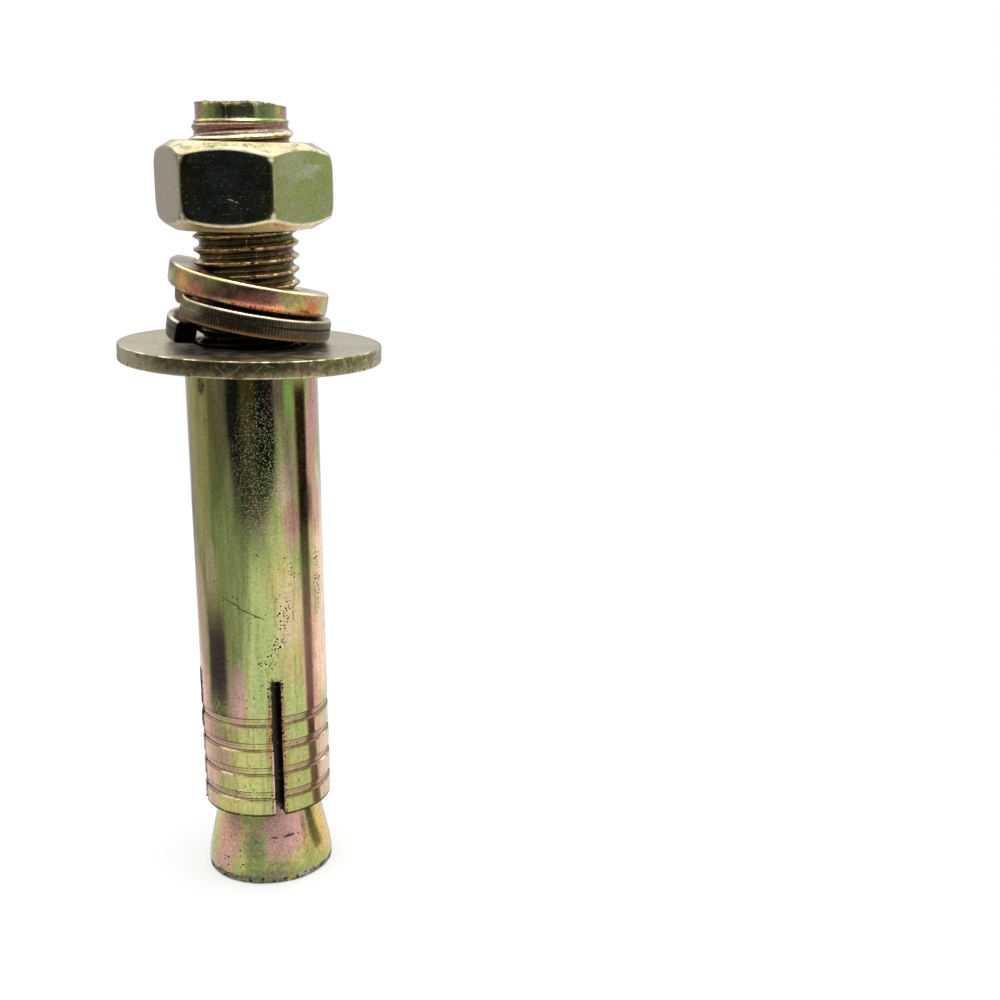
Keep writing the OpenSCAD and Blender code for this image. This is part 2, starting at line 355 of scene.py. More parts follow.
def expansion_sleeve(material):
    # Rows: height and depth under the full radius
    rows = groove_profile()
    rows += [(z, 0) for z in np.linspace(rows[-1][0] + 0.7, SLOT_TOP - SLOT_CORNER - 0.3, 5)]
    rows += [(SLOT_TOP - SLOT_CORNER * (1 - s), 0) for s in np.sin(np.radians([0, 25, 45, 65, 90]))]
    rows += [(z, 0) for z in (SLOT_TOP + 0.25, SLOT_TOP + 0.7)]
    rows += [(z, 0) for z in np.linspace(SLOT_TOP + 1.6, SLEEVE_TOP - 1.6, 34)]
    rows += [(SLEEVE_TOP - 0.6, 0), (SLEEVE_TOP - 0.3, 0.06), (SLEEVE_TOP - 0.1, 0.14), (SLEEVE_TOP, 0.25)]
    level, depth = np.array(rows).T
    slot_row = int(np.argmin(np.abs(level - SLOT_TOP)))

    # Columns: four across each slot, then those of the leg up to the next slot
    slot_share = [-1, -0.5, 0, 0.5]
    leg = np.arange(36) / 36
    leg_share = 0.45 * leg + 0.55 * (0.5 - 0.5 * np.cos(np.pi * leg))
    columns = SLOT_COUNT * (len(slot_share) + len(leg_share))
    layers = np.array([0, 0.08, 0.45, 0.92, 1])

    # Half the slot's width at each height, and the burr that the saw left along each edge
    corner = np.clip((level - (SLOT_TOP - SLOT_CORNER)) / SLOT_CORNER, 0, 1)
    half = SLOT_HALF - SLOT_CORNER * (1 - np.sqrt(1 - corner**2))
    half = np.where(level > SLOT_TOP, SLOT_HALF, half)
    edge_side = {}
    for slot in range(SLOT_COUNT):
        for side in (-1, 1):
            jag = ragged(len(level), 2.2, 20 + 2 * slot + side)
            swell = ragged(len(level), 9, 40 + 2 * slot + side)
            edge_side[slot, side] = (BURR_H / 2 * jag, BURR_H + 0.05 * np.abs(jag) + 0.04 * swell)

    points = np.zeros((len(level), columns, len(layers), 3))
    burr_mask = np.zeros((len(level), columns, len(layers)))
    solid = np.ones((len(level) - 1, columns), bool)
    c = 0
    below = smooth(SLOT_TOP + 0.35 - level, 0, 0.4)
    for slot in range(SLOT_COUNT):
        middle = 360 * slot / SLOT_COUNT - 90
        jag_after, burr_after = edge_side[slot, 1]
        jag_before, burr_before = edge_side[(slot + 1) % SLOT_COUNT, -1]
        shares = [("slot", s) for s in slot_share] + [("leg", s) for s in leg_share]
        for kind, share in shares:
            if kind == "slot":
                solid[:slot_row, c] = False
            for t, layer in enumerate(layers):
                radius = (SLEEVE_R - depth) * (1 - layer) + BORE_R * layer
                radius = radius + 0.15 * (layer > 0.9) * smooth(SLEEVE_Z + 0.3 - level, 0, 0.3)
                after = np.degrees(np.arcsin((half + jag_after * below) / radius))
                if kind == "slot":
                    before = np.degrees(np.arcsin((half + edge_side[slot, -1][0] * below) / radius))
                    angle = middle + share * np.where(share < 0, before, after)
                    # One edge of each slot is worn to a small bevel further down
                    if share == -1 and layer == 0:
                        worn_off = smooth(SLOT_TOP - level, 7, 12)
                        angle = angle - np.degrees(SLOT_BEVEL / radius) * worn_off
                    gap = np.full(len(level), 9.0) if share > -1 else np.zeros(len(level))
                    lip = edge_side[slot, -1][1]
                else:
                    before = np.degrees(np.arcsin((half + jag_before * below) / radius))
                    span = 90 - after - before
                    angle = middle + after + share * span
                    arc = np.radians(span) * radius
                    gap = np.minimum(share, 1 - share) * arc
                    lip = burr_after if share < 0.5 else burr_before
                outside = layer < 0.1
                on_leg = kind == "leg" or share == -1
                lift = lip * np.exp(-gap / BURR_REACH) * below * outside * on_leg
                a = np.radians(angle)
                radius = radius + lift
                top_cut = math.tan(math.radians(LEAN)) * radius * np.cos(a - math.radians(LEAN_SIDE))
                height = level - top_cut * smooth(level, SLEEVE_TOP - 2.5, SLEEVE_TOP)
                points[:, c, t] = np.stack([radius * np.cos(a), radius * np.sin(a), height], -1)
                on_wall = (kind == "leg") * (gap < 0.02)
                burr_mask[:, c, t] = below * (np.exp(-gap / 0.2) if outside else on_wall)
            c += 1

    def quad(*corners):
        faces.append([(k * columns + c % columns) * len(layers) + t for k, c, t in corners])

    faces = []
    last = len(layers) - 1
    for k in range(len(level) - 1):
        for c in range(columns):
            if not solid[k, c]:
                continue
            quad((k, c, 0), (k, c + 1, 0), (k + 1, c + 1, 0), (k + 1, c, 0))
            quad((k, c + 1, last), (k, c, last), (k + 1, c, last), (k + 1, c + 1, last))
            open_below = k == 0 or not solid[k - 1, c]
            for t in range(last):
                if open_below:
                    quad((k, c, t), (k, c, t + 1), (k, c + 1, t + 1), (k, c + 1, t))
                if k == len(level) - 2:
                    quad((k + 1, c, t), (k + 1, c + 1, t), (k + 1, c + 1, t + 1), (k + 1, c, t + 1))
                if not solid[k, c - 1]:
                    quad((k, c, t), (k + 1, c, t), (k + 1, c, t + 1), (k, c, t + 1))
                if not solid[k, (c + 1) % columns]:
                    quad((k, c + 1, t), (k, c + 1, t + 1), (k + 1, c + 1, t + 1), (k + 1, c + 1, t))
    used = sorted({v for f in faces for v in f})
    new = {v: i for i, v in enumerate(used)}
    faces = [[new[v] for v in f] for f in faces]
    points = points.reshape(-1, 3)[used]
    ledges, recess = np.zeros(len(level)), np.zeros(len(level))
    for ledge in GROOVE_LEDGES:
        end = ledge + GROOVE_H
        ledges += bump(level, ledge - 0.02, 0.09)
        recess += smooth(level, ledge + 0.02, ledge + 0.1) * smooth(-level, -end - 0.03, -end)
    masks = {"wear_and_highlight": np.clip(ledges, 0, 1)[:, None, None], "recess": recess[:, None, None], "burr": burr_mask}
    masks = {label: np.broadcast_to(m, burr_mask.shape).reshape(-1)[used] for label, m in masks.items()}
    make_piece("sleeve", points, faces, "sleeve_stack", "expansion_sleeve", material, masks)


def flat_washer(material):
    columns = 240
    angles = 360 * np.arange(columns) / columns
    outline = fillet(
        [(WASHER_HOLE_R, 0), (WASHER_R, 0), (WASHER_R, WASHER_T), (WASHER_HOLE_R, WASHER_T)],
        [0.2, 0.3, 0.28, 0.35],
    )
    # More rows on the rim and on both faces, so that the punched edge can be rough
    section = divided(outline, 0.9)
    rim = smooth(section[:, 0], WASHER_R - 0.4, WASHER_R)[None]
    burr = smooth(0.9 - section[:, 1], 0, 0.6)[None]
    rough = ragged(columns, 3, 51)[:, None] * 0.025 * burr + ragged(columns, 24, 52)[:, None] * 0.02
    radius = section[None, :, 0] + rim * rough
    level = section[None, :, 1] + 0 * radius
    level = level + 0.03 * ragged(columns, 4, 53)[:, None] * smooth(-section[None, :, 1], -0.1, 0) * rim
    points = ring_points(radius, level, angles).reshape(-1, 3)
    lip = bump(section[:, 0], WASHER_R - 0.1, 0.19) * bump(section[:, 1], WASHER_T - 0.1, 0.15)
    wear_and_highlight = lip[None] * np.clip(0.75 + 0.5 * ragged(columns, 5, 54)[:, None], 0, 1)
    torn = rim * smooth(1.25 + 0.25 * ragged(columns, 9, 55)[:, None] - section[None, :, 1], 0, 0.35)
    brink = rim * bump(section[:, 1], 0.2, 0.13)[None] + 0 * radius
    masks = {"wear_and_highlight": wear_and_highlight, "torn": torn, "brink": brink}
    points = lean(points, LEAN, LEAN_SIDE) + [0, 0, WASHER_Z]
    faces = skin(columns, len(section), close_rows=True)
    make_piece("plain_washer", points, faces, "sleeve_stack", "flat_washer", material, masks)


def spring_washer(name, node, material, size, rings, ribs):
    """A spring washer swept down one left-hand turn; its highest point lies where the CAD node's does."""
    outer_r, wire_t, split_side, tilt, tilt_side, kick = size
    half = wire_t / 2
    corners = [(outer_r, -half), (outer_r, half), (SPRING_HOLE_R, half), (SPRING_HOLE_R, -half)]
    rounding = [1.1, 0.6, 0.4, 0.4]
    # Height of the line that the rolls left round the ribbed wire
    line = 0.08 * wire_t
    if ribs:
        corners[1:1] = [(outer_r, line - 0.08), (outer_r - 0.1, line), (outer_r, line + 0.08)]
        rounding[:1] = [0.75, 0, 0, 0]
    section = divided(fillet(corners, rounding, steps=5), 0.45)
    middle = np.array([(outer_r + SPRING_HOLE_R) / 2, 0])

    # Rings from the high end to the low end; the last ones close in over the rounded edges of each cut
    share = np.linspace(0, 1, rings)
    share = np.concatenate([[0, 0, 0.0012], share[1:-1], [0.9988, 1, 1]])
    scale = np.ones(len(share))
    scale[[0, 1, -2, -1]] = [0.86, 0.975, 0.975, 0.86]
    flat = middle + (section[None] - middle) * scale[:, None, None]
    sweep = 360 - SPRING_SPLIT
    angle = split_side + SPRING_SPLIT / 2 + sweep * share[:, None]
    near_cut = smooth(np.abs(share - 0.5), 0.47, 0.5)[:, None]
    angle = angle + near_cut * np.degrees(flat[..., 1] * math.tan(math.radians(CUT_SLANT)) / outer_r)
    radius = flat[..., 0].copy()
    face = smooth(radius, outer_r - 0.16, outer_r - 0.03)
    valley = (0.5 - 0.5 * np.cos(2 * np.pi * ribs * share))[:, None] * face
    radius -= RIB_DEPTH * valley
    radius += 0.02 * face * ragged(len(share), 40, 61)[:, None]
    height = flat[..., 1] + SPRING_RISE * (0.5 - share[:, None])
    # The shears kick the high end up at its outer edge
    end_lift = np.exp(-share * math.radians(sweep) * outer_r / KICK_REACH)[:, None]
    height += kick * end_lift * smooth(flat[..., 1], -half, half) * smooth(radius, outer_r - 2.5, outer_r)
    a = np.radians(angle)
    points = np.stack([radius * np.cos(a), radius * np.sin(a), height], -1)

    rows = len(section)
    faces = skin(len(share) + 1, rows, close_rows=True)[: (len(share) - 1) * rows]
    faces.append(list(range(rows)))
    faces.append(list(range((len(share) - 1) * rows, len(share) * rows))[::-1])
    placed = lean(points.reshape(-1, 3), tilt, tilt_side)
    plain_top = placed[:, 2].max() - kick
    placed = placed + [0, 0, node_box(node)[1].z - plain_top]

    outer = section[:, 0] > middle[0]
    edge = bump(section[:, 1], half - 0.15, 0.14) * outer
    low_edge = bump(section[:, 1], 0.45 - half, 0.35) * outer
    rolled = bump(section[:, 1], line, 0.1) * outer * (ribs > 0)
    along = np.clip(0.8 + 0.4 * ragged(len(share), 30, 62), 0, 1)[:, None]
    ends = np.isin(np.arange(len(share)), [0, len(share) - 1])[:, None] + 0 * flat[..., 0]
    masks = {
        "wear_and_highlight": edge[None] * along, "copper": low_edge[None] * along, "cut": ends, "valley": valley,
        "rolled": rolled[None] + 0 * flat[..., 0],
    }
    make_piece(name, placed, faces, "sleeve_stack", node, material, masks)


def hexagon_radius(angles, rounding):
    """Distance from the axis to the nut's side, its upright edges rounded."""
    from_face = (np.asarray(angles) - NUT_TURN + 30 + 30) % 60 - 30
    from_corner = np.radians(30 - np.abs(from_face))
    side = NUT_APOTHEM / np.cos(np.radians(from_face))
    inner = (NUT_APOTHEM - rounding) / math.cos(math.radians(30))
    reach = rounding**2 - (inner * np.sin(from_corner)) ** 2
    arc = inner * np.cos(from_corner) + np.sqrt(np.maximum(reach, 0))
    half_face = math.radians(30)
    touch = np.arctan2(rounding * math.sin(half_face), inner + rounding * math.cos(half_face))
    return np.where(from_corner < touch, arc, side)


EDGE_STEPS = (0.03, 0.07, 0.12, 0.18, 0.27, 0.4, 0.6, 0.73, 0.82, 0.88, 0.93, 0.97)


def hex_nut(material):
    # Columns: close together at the upright edges
    edge = [0.008, 0.016, 0.024, 0.033, 0.043, 0.055, 0.075]
    share = np.concatenate([[0], edge, np.linspace(0.095, 0.905, 18), [1 - s for s in edge[::-1]]])
    angles = np.concatenate([NUT_TURN + 60 * (k + share) for k in range(6)])
    columns = len(angles)
    side_r = hexagon_radius(angles, NUT_EDGE_R + NUT_EDGE_MORE)
    slope = math.tan(math.radians(NUT_CHAMFER))
    mouth_r = CREST_R + THREAD_PLAY
    mouth = NUT_SINK_R - mouth_r

    outer = []
    for r in side_r:
        drop = (r - NUT_FACE_R) * slope
        corners = [
            (mouth_r, NUT_Z + mouth), (NUT_SINK_R, NUT_Z), (NUT_FACE_R, NUT_Z), (r, NUT_Z + drop),
            (r, NUT_TOP - drop), (NUT_FACE_R, NUT_TOP), (NUT_SINK_R, NUT_TOP), (mouth_r, NUT_TOP - mouth),
        ]
        outline = fillet(corners, [0, 0.12, 0.25, 0.9, 0.9, 0.3, 0.12, 0])
        side = len(outline) // 2
        low, high = outline[side - 1], outline[side]
        between = [low + (high - low) * t for t in EDGE_STEPS]
        outer.append(np.concatenate([outline[:side], between, outline[side:]]))
    outer = np.array(outer)
    # The upright edges are rounder where they run out into the chamfers
    first_step = next(i for i, p in enumerate(outer[0]) if abs(p[0] - side_r[0]) < 1e-6)
    for k in range(first_step, outer.shape[1] - first_step):
        above = outer[:, k, 1] - outer[:, first_step, 1]
        under = outer[:, -1 - first_step, 1] - outer[:, k, 1]
        inward = np.clip(np.minimum(above, under), 0, None)
        rounding = NUT_EDGE_R + NUT_EDGE_MORE * np.exp(-inward / NUT_EDGE_RUN)
        outer[:, k, 0] = hexagon_radius(angles, rounding)

    # The forged top lies a little out of square, and the bore's mouth with it
    toward = np.cos(np.radians(angles - LEAN_SIDE))[:, None]
    fall = math.tan(math.radians(TOP_FALL))

    # Threaded bore, from its upper mouth down
    top = NUT_TOP - mouth - fall * (mouth_r * toward + NUT_APOTHEM)
    crest = CREST_LEVEL + PITCH * NUT_TURN / 360
    height, form, partners = thread_rows(crest, NUT_Z + mouth, top, (angles - NUT_TURN) / 360)
    fade = smooth(height - NUT_Z - mouth, 0, 0.7) * smooth(top - height, 0, 0.7)
    thread_r = np.maximum(ROOT_R + (CREST_R - ROOT_R) * form + THREAD_PLAY, NUT_MINOR_R)
    bore_r = mouth_r - (mouth_r - thread_r) * fade

    radius = np.concatenate([outer[..., 0], bore_r[:, ::-1]], 1)
    level = np.concatenate([outer[..., 1], height[:, ::-1]], 1)
    upper = smooth(level, NUT_Z + 4, NUT_TOP - 2)
    upper[:, outer.shape[1]:] = 0
    level = level - fall * (radius * toward + NUT_APOTHEM) * upper

    rows = radius.shape[1]
    first = outer.shape[1]
    seam = np.arange(rows)
    count = len(partners)
    seam[first:] = first + (count - 1 - partners)[::-1]
    wear_and_highlight = np.zeros_like(radius)
    upright_edge = bump(side_r, side_r.max(), 0.02)[:, None]
    brim = bump(outer[..., 0], NUT_FACE_R, 0.5)
    from_end = np.minimum(outer[..., 1] - NUT_Z, NUT_TOP - outer[..., 1])
    side_edge = bump(from_end, (side_r[:, None] - NUT_FACE_R) * slope, 0.25)
    wear_and_highlight[:, :first] = np.maximum(np.maximum(upright_edge, brim), side_edge)
    chamfer = np.zeros_like(radius)
    chamfer[:, :first] = (outer[..., 0] < side_r[:, None] - 0.1) & (outer[..., 0] > NUT_FACE_R - 0.3)
    masks = {"wear_and_highlight": wear_and_highlight, "chamfer": chamfer}
    points = ring_points(radius, level, angles).reshape(-1, 3)
    faces = skin(columns, rows, close_rows=True, seam=seam)
    make_piece("nut", points, faces, "nut", "hex_nut", material, masks)


# Node trees


def feed(tree, socket, value):
    """Links a socket to an input, or sets the input to a value; a colour may leave out its alpha."""
    if isinstance(value, bpy.types.NodeSocket):
        tree.links.new(value, socket)
    else:
        socket.default_value = (*value, 1) if socket.type == "RGBA" and len(value) == 3 else value


def put(tree, kind, inputs=(), **settings):
    """Adds a node with its inputs fed."""
    node = tree.nodes.new("ShaderNode" + kind)
    for name, value in settings.items():
        setattr(node, name, value)
    for name, value in dict(inputs).items():
        feed(tree, node.inputs[name], value)
    return node


def empty_tree(owner):
    """The cleared node tree of a material or world."""
    owner.use_nodes = True
    owner.node_tree.nodes.clear()
    return owner.node_tree


def maths(tree, operation, *values, clamp=False):
    return put(tree, "Math", dict(enumerate(values)), operation=operation, use_clamp=clamp).outputs[0]


def times(tree, product, *factors):
    for factor in factors:
        product = maths(tree, "MULTIPLY", product, factor)
    return product


def vectors(tree, operation, *values):
    node = put(tree, "VectorMath", operation=operation)
    for i, value in enumerate(values):
        feed(tree, node.inputs["Scale" if operation == "SCALE" and i == 1 else i], value)
    return node.outputs["Value" if operation in ("LENGTH", "DOT_PRODUCT") else "Vector"]


def step(tree, value, low, high, start=0.0, end=1.0):
    """Smooth step from start to end as value goes from low to high."""
    ends = {"Value": value, "From Min": low, "From Max": high, "To Min": start, "To Max": end}
    return put(tree, "MapRange", ends, interpolation_type="SMOOTHSTEP").outputs[0]


def blend(tree, amount, base, over, mode="MIX"):
    """Colour `over` laid on colour `base`."""
    return put(tree, "Mix", {0: amount, 6: base, 7: over}, data_type="RGBA", blend_type=mode).outputs[2]


def noise(tree, place, scale=1.0, detail=2.0, roughness=0.5):
    fed = {"Vector": place, "Scale": scale, "Detail": detail, "Roughness": roughness}
    return put(tree, "TexNoise", fed).outputs["Fac"]


def on_surface(tree, offset, normal):
    """An offset without its part along the normal, and the length of that part."""
    depth = vectors(tree, "DOT_PRODUCT", offset, normal)
    return vectors(tree, "SUBTRACT", offset, vectors(tree, "SCALE", normal, depth)), depth


SOCKETS = {1: "NodeSocketFloat", 3: "NodeSocketVector", 4: "NodeSocketColor"}


def group(name, output, **inputs):
    """An empty node group; a default's count of numbers gives its socket's kind, and _ stands for a space."""
    tree = bpy.data.node_groups.new(name, "ShaderNodeTree")
    for label, default in inputs.items():
        kind = SOCKETS[np.size(default)]
        socket = tree.interface.new_socket(label.replace("_", " "), in_out="INPUT", socket_type=kind)
        socket.default_value = default
    tree.interface.new_socket(output, in_out="OUTPUT", socket_type=SOCKETS[4 if output == "Colour" else 1])
    return tree, tree.nodes.new("NodeGroupInput").outputs, tree.nodes.new("NodeGroupOutput").inputs[output]


# Linear colours
LEAF = (0.31, 0.37, 0.12)
LIME = (0.375, 0.455, 0.16)
OLIVE = (0.20, 0.20, 0.08)
STRAW = (0.47, 0.43, 0.15)
GOLD = (0.58, 0.45, 0.16)
TAN = (0.60, 0.48, 0.27)
ROSE = (0.50, 0.31, 0.24)
MAUVE = (0.42, 0.24, 0.20)
PEACH = (0.78, 0.54, 0.37)
LILAC = (0.42, 0.31, 0.21)
ORANGE = (0.46, 0.23, 0.08)
UMBER = (0.28, 0.20, 0.14)
BROWN = (0.15, 0.085, 0.045)
SOOT = (0.012, 0.010, 0.008)
PALE = (0.62, 0.62, 0.50)
GLANCE = (0.3, 0.24, 0.2)


def chromate_drift():
    """Iridescent chromate: green that drifts into gold, rose and lilac."""
    tree, given, out = group(
        "chromate_drift", "Colour", Place=(0, 0, 0), Size=6.0, Stretch=3.0, Leaf=(*LEAF, 1), Gold=(*STRAW, 1),
        Rose=(*ROSE, 1), Lilac=(*LILAC, 1), Rose_share=0.5, Lilac_share=0.5,
    )
    parts = put(tree, "SeparateXYZ", {0: given["Place"]}).outputs
    low = maths(tree, "DIVIDE", parts["Z"], given["Stretch"])
    place = put(tree, "CombineXYZ", {0: parts["X"], 1: parts["Y"], 2: low}).outputs[0]
    place = vectors(tree, "SCALE", place, maths(tree, "DIVIDE", 1.0, given["Size"]))
    gold = step(tree, noise(tree, place, 1.0, 3.0, 0.55), 0.42, 0.62)
    colour = blend(tree, gold, given["Leaf"], given["Gold"])
    for tone, shift, scale, roughness, thin, thick in (
        ("Rose", (7.3, 2.1, 5.7), 0.8, 0.55, 0.5, 0.66),
        ("Lilac", (19.0, 11.0, 3.0), 1.3, 0.6, 0.52, 0.7),
    ):
        cloud = noise(tree, vectors(tree, "ADD", place, shift), scale, 3.0, roughness)
        cloud = maths(tree, "ADD", cloud, maths(tree, "SUBTRACT", given[tone + " share"], 0.5))
        colour = blend(tree, step(tree, cloud, thin, thick), colour, given[tone])
    tree.links.new(colour, out)
    return tree


def bloom_patch():
    """One soft-edged patch with a ragged outline."""
    tree, given, out = group(
        "bloom_patch", "Mask", Place=(0, 0, 0), Centre=(0, 0, 0), Reach=(3, 3, 3), Raggedness=0.5
    )
    away = vectors(tree, "DIVIDE", vectors(tree, "SUBTRACT", given["Place"], given["Centre"]), given["Reach"])
    wander = maths(tree, "SUBTRACT", noise(tree, given["Place"], 0.45, 4.0, 0.6), 0.5)
    far = maths(tree, "ADD", vectors(tree, "LENGTH", away), times(tree, wander, given["Raggedness"]))
    tree.links.new(step(tree, far, 0.35, 1.0, 1.0, 0.0), out)
    return tree


def cell_marks(tree, given):
    """A net's own place, the nearest mark's random colour and its parts, and how far off the mark this is."""
    place = vectors(tree, "SCALE", given["Place"], maths(tree, "DIVIDE", 1.0, given["Spacing"]))
    cells = put(tree, "TexVoronoi", {"Vector": place, "Scale": 1.0, "Randomness": 1.0}, feature="F1").outputs
    chance = put(tree, "SeparateColor", {0: cells["Color"]}).outputs
    return place, cells["Color"], chance, vectors(tree, "SUBTRACT", place, cells["Position"])


def hair_scratches():
    """Short fine scratches, each with its own direction along the surface."""
    tree, given, out = group(
        "hair_scratches", "Mask", Place=(0, 0, 0), Normal=(0, 0, 1),
        Spacing=0.8, Length=0.4, Width=0.07, Share=0.5,
    )
    _, colour, chance, offset = cell_marks(tree, given)
    spin = vectors(tree, "SUBTRACT", colour, (0.5, 0.5, 0.5))
    run = vectors(tree, "NORMALIZE", vectors(tree, "CROSS_PRODUCT", given["Normal"], spin))
    side = vectors(tree, "CROSS_PRODUCT", given["Normal"], run)
    along = vectors(tree, "DOT_PRODUCT", offset, run)
    bow = times(tree, along, along, maths(tree, "SUBTRACT", chance["Green"], 0.5))
    across = maths(tree, "ABSOLUTE", maths(tree, "ADD", vectors(tree, "DOT_PRODUCT", offset, side), bow))
    line = step(tree, across, given["Width"], times(tree, given["Width"], 0.3))
    ends = step(tree, maths(tree, "ABSOLUTE", along), given["Length"], times(tree, given["Length"], 0.6))
    kept = maths(tree, "LESS_THAN", chance["Blue"], given["Share"])
    strength = times(tree, kept, maths(tree, "ADD", 0.35, times(tree, chance["Red"], 0.65)))
    tree.links.new(times(tree, line, ends, strength), out)
    return tree


def black_pits():
    """Small pits with uneven outlines, some cells of a loose net each holding one."""
    tree, given, out = group(
        "black_pits", "Mask", Place=(0, 0, 0), Normal=(0, 0, 1), Spacing=0.7, Size=0.25, Share=0.3
    )
    place, _, chance, offset = cell_marks(tree, given)
    offset, _ = on_surface(tree, offset, given["Normal"])
    spread = times(tree, maths(tree, "SUBTRACT", noise(tree, place, 3.5, 2.0), 0.5), 0.35)
    far = maths(tree, "ADD", vectors(tree, "LENGTH", offset), spread)
    size = times(tree, given["Size"], maths(tree, "ADD", 0.4, times(tree, chance["Green"], 0.6)))
    kept = maths(tree, "LESS_THAN", chance["Red"], given["Share"])
    hole = step(tree, maths(tree, "SUBTRACT", size, far), 0.0, 0.06)
    tree.links.new(times(tree, hole, kept), out)
    return tree


def score_line():
    """One straight or slightly wandering score between two points."""
    tree, given, out = group(
        "score_line", "Mask", Place=(0, 0, 0), Normal=(0, 0, 1),
        From=(0, 0, 0), To=(1, 0, 0), Width=0.1, Breaks=0.0,
    )
    wander = put(tree, "TexNoise", {"Vector": given["Place"], "Scale": 0.8, "Detail": 2.0}).outputs["Color"]
    wander = vectors(tree, "SCALE", vectors(tree, "SUBTRACT", wander, (0.5, 0.5, 0.5)), 0.7)
    place = vectors(tree, "ADD", given["Place"], wander)
    run = vectors(tree, "SUBTRACT", given["To"], given["From"])
    away = vectors(tree, "SUBTRACT", place, given["From"])
    square = vectors(tree, "DOT_PRODUCT", run, run)
    share = maths(tree, "DIVIDE", vectors(tree, "DOT_PRODUCT", away, run), square, clamp=True)
    # Distance along the surface only, so that a straight line follows a round one
    offset = vectors(tree, "SUBTRACT", away, vectors(tree, "SCALE", run, share))
    offset, depth = on_surface(tree, offset, given["Normal"])
    shallow = step(tree, maths(tree, "ABSOLUTE", depth), 2.0, 1.2)
    ends = times(tree, step(tree, share, 0.0, 0.25, 0.35, 1.0), step(tree, share, 0.75, 1.0, 1.0, 0.35))
    far = maths(tree, "DIVIDE", vectors(tree, "LENGTH", offset), times(tree, given["Width"], ends))
    gaps = step(tree, maths(tree, "SUBTRACT", noise(tree, given["Place"], 2.2, 3.0), given["Breaks"]), 0.0, 0.1)
    tree.links.new(times(tree, step(tree, far, 1.0, 0.4), gaps, shallow), out)
    return tree


GROUPS = {
    make.__name__: make() for make in (chromate_drift, bloom_patch, hair_scratches, black_pits, score_line)
}


def effect(tree, name, output="Mask", **inputs):
    """A shared effect placed in a material with its own values; input names may use _ for a space."""
    node = tree.nodes.new("ShaderNodeGroup")
    node.node_tree = GROUPS[name]
    for label, value in inputs.items():
        feed(tree, node.inputs[label.replace("_", " ")], value)
    return node.outputs[output]


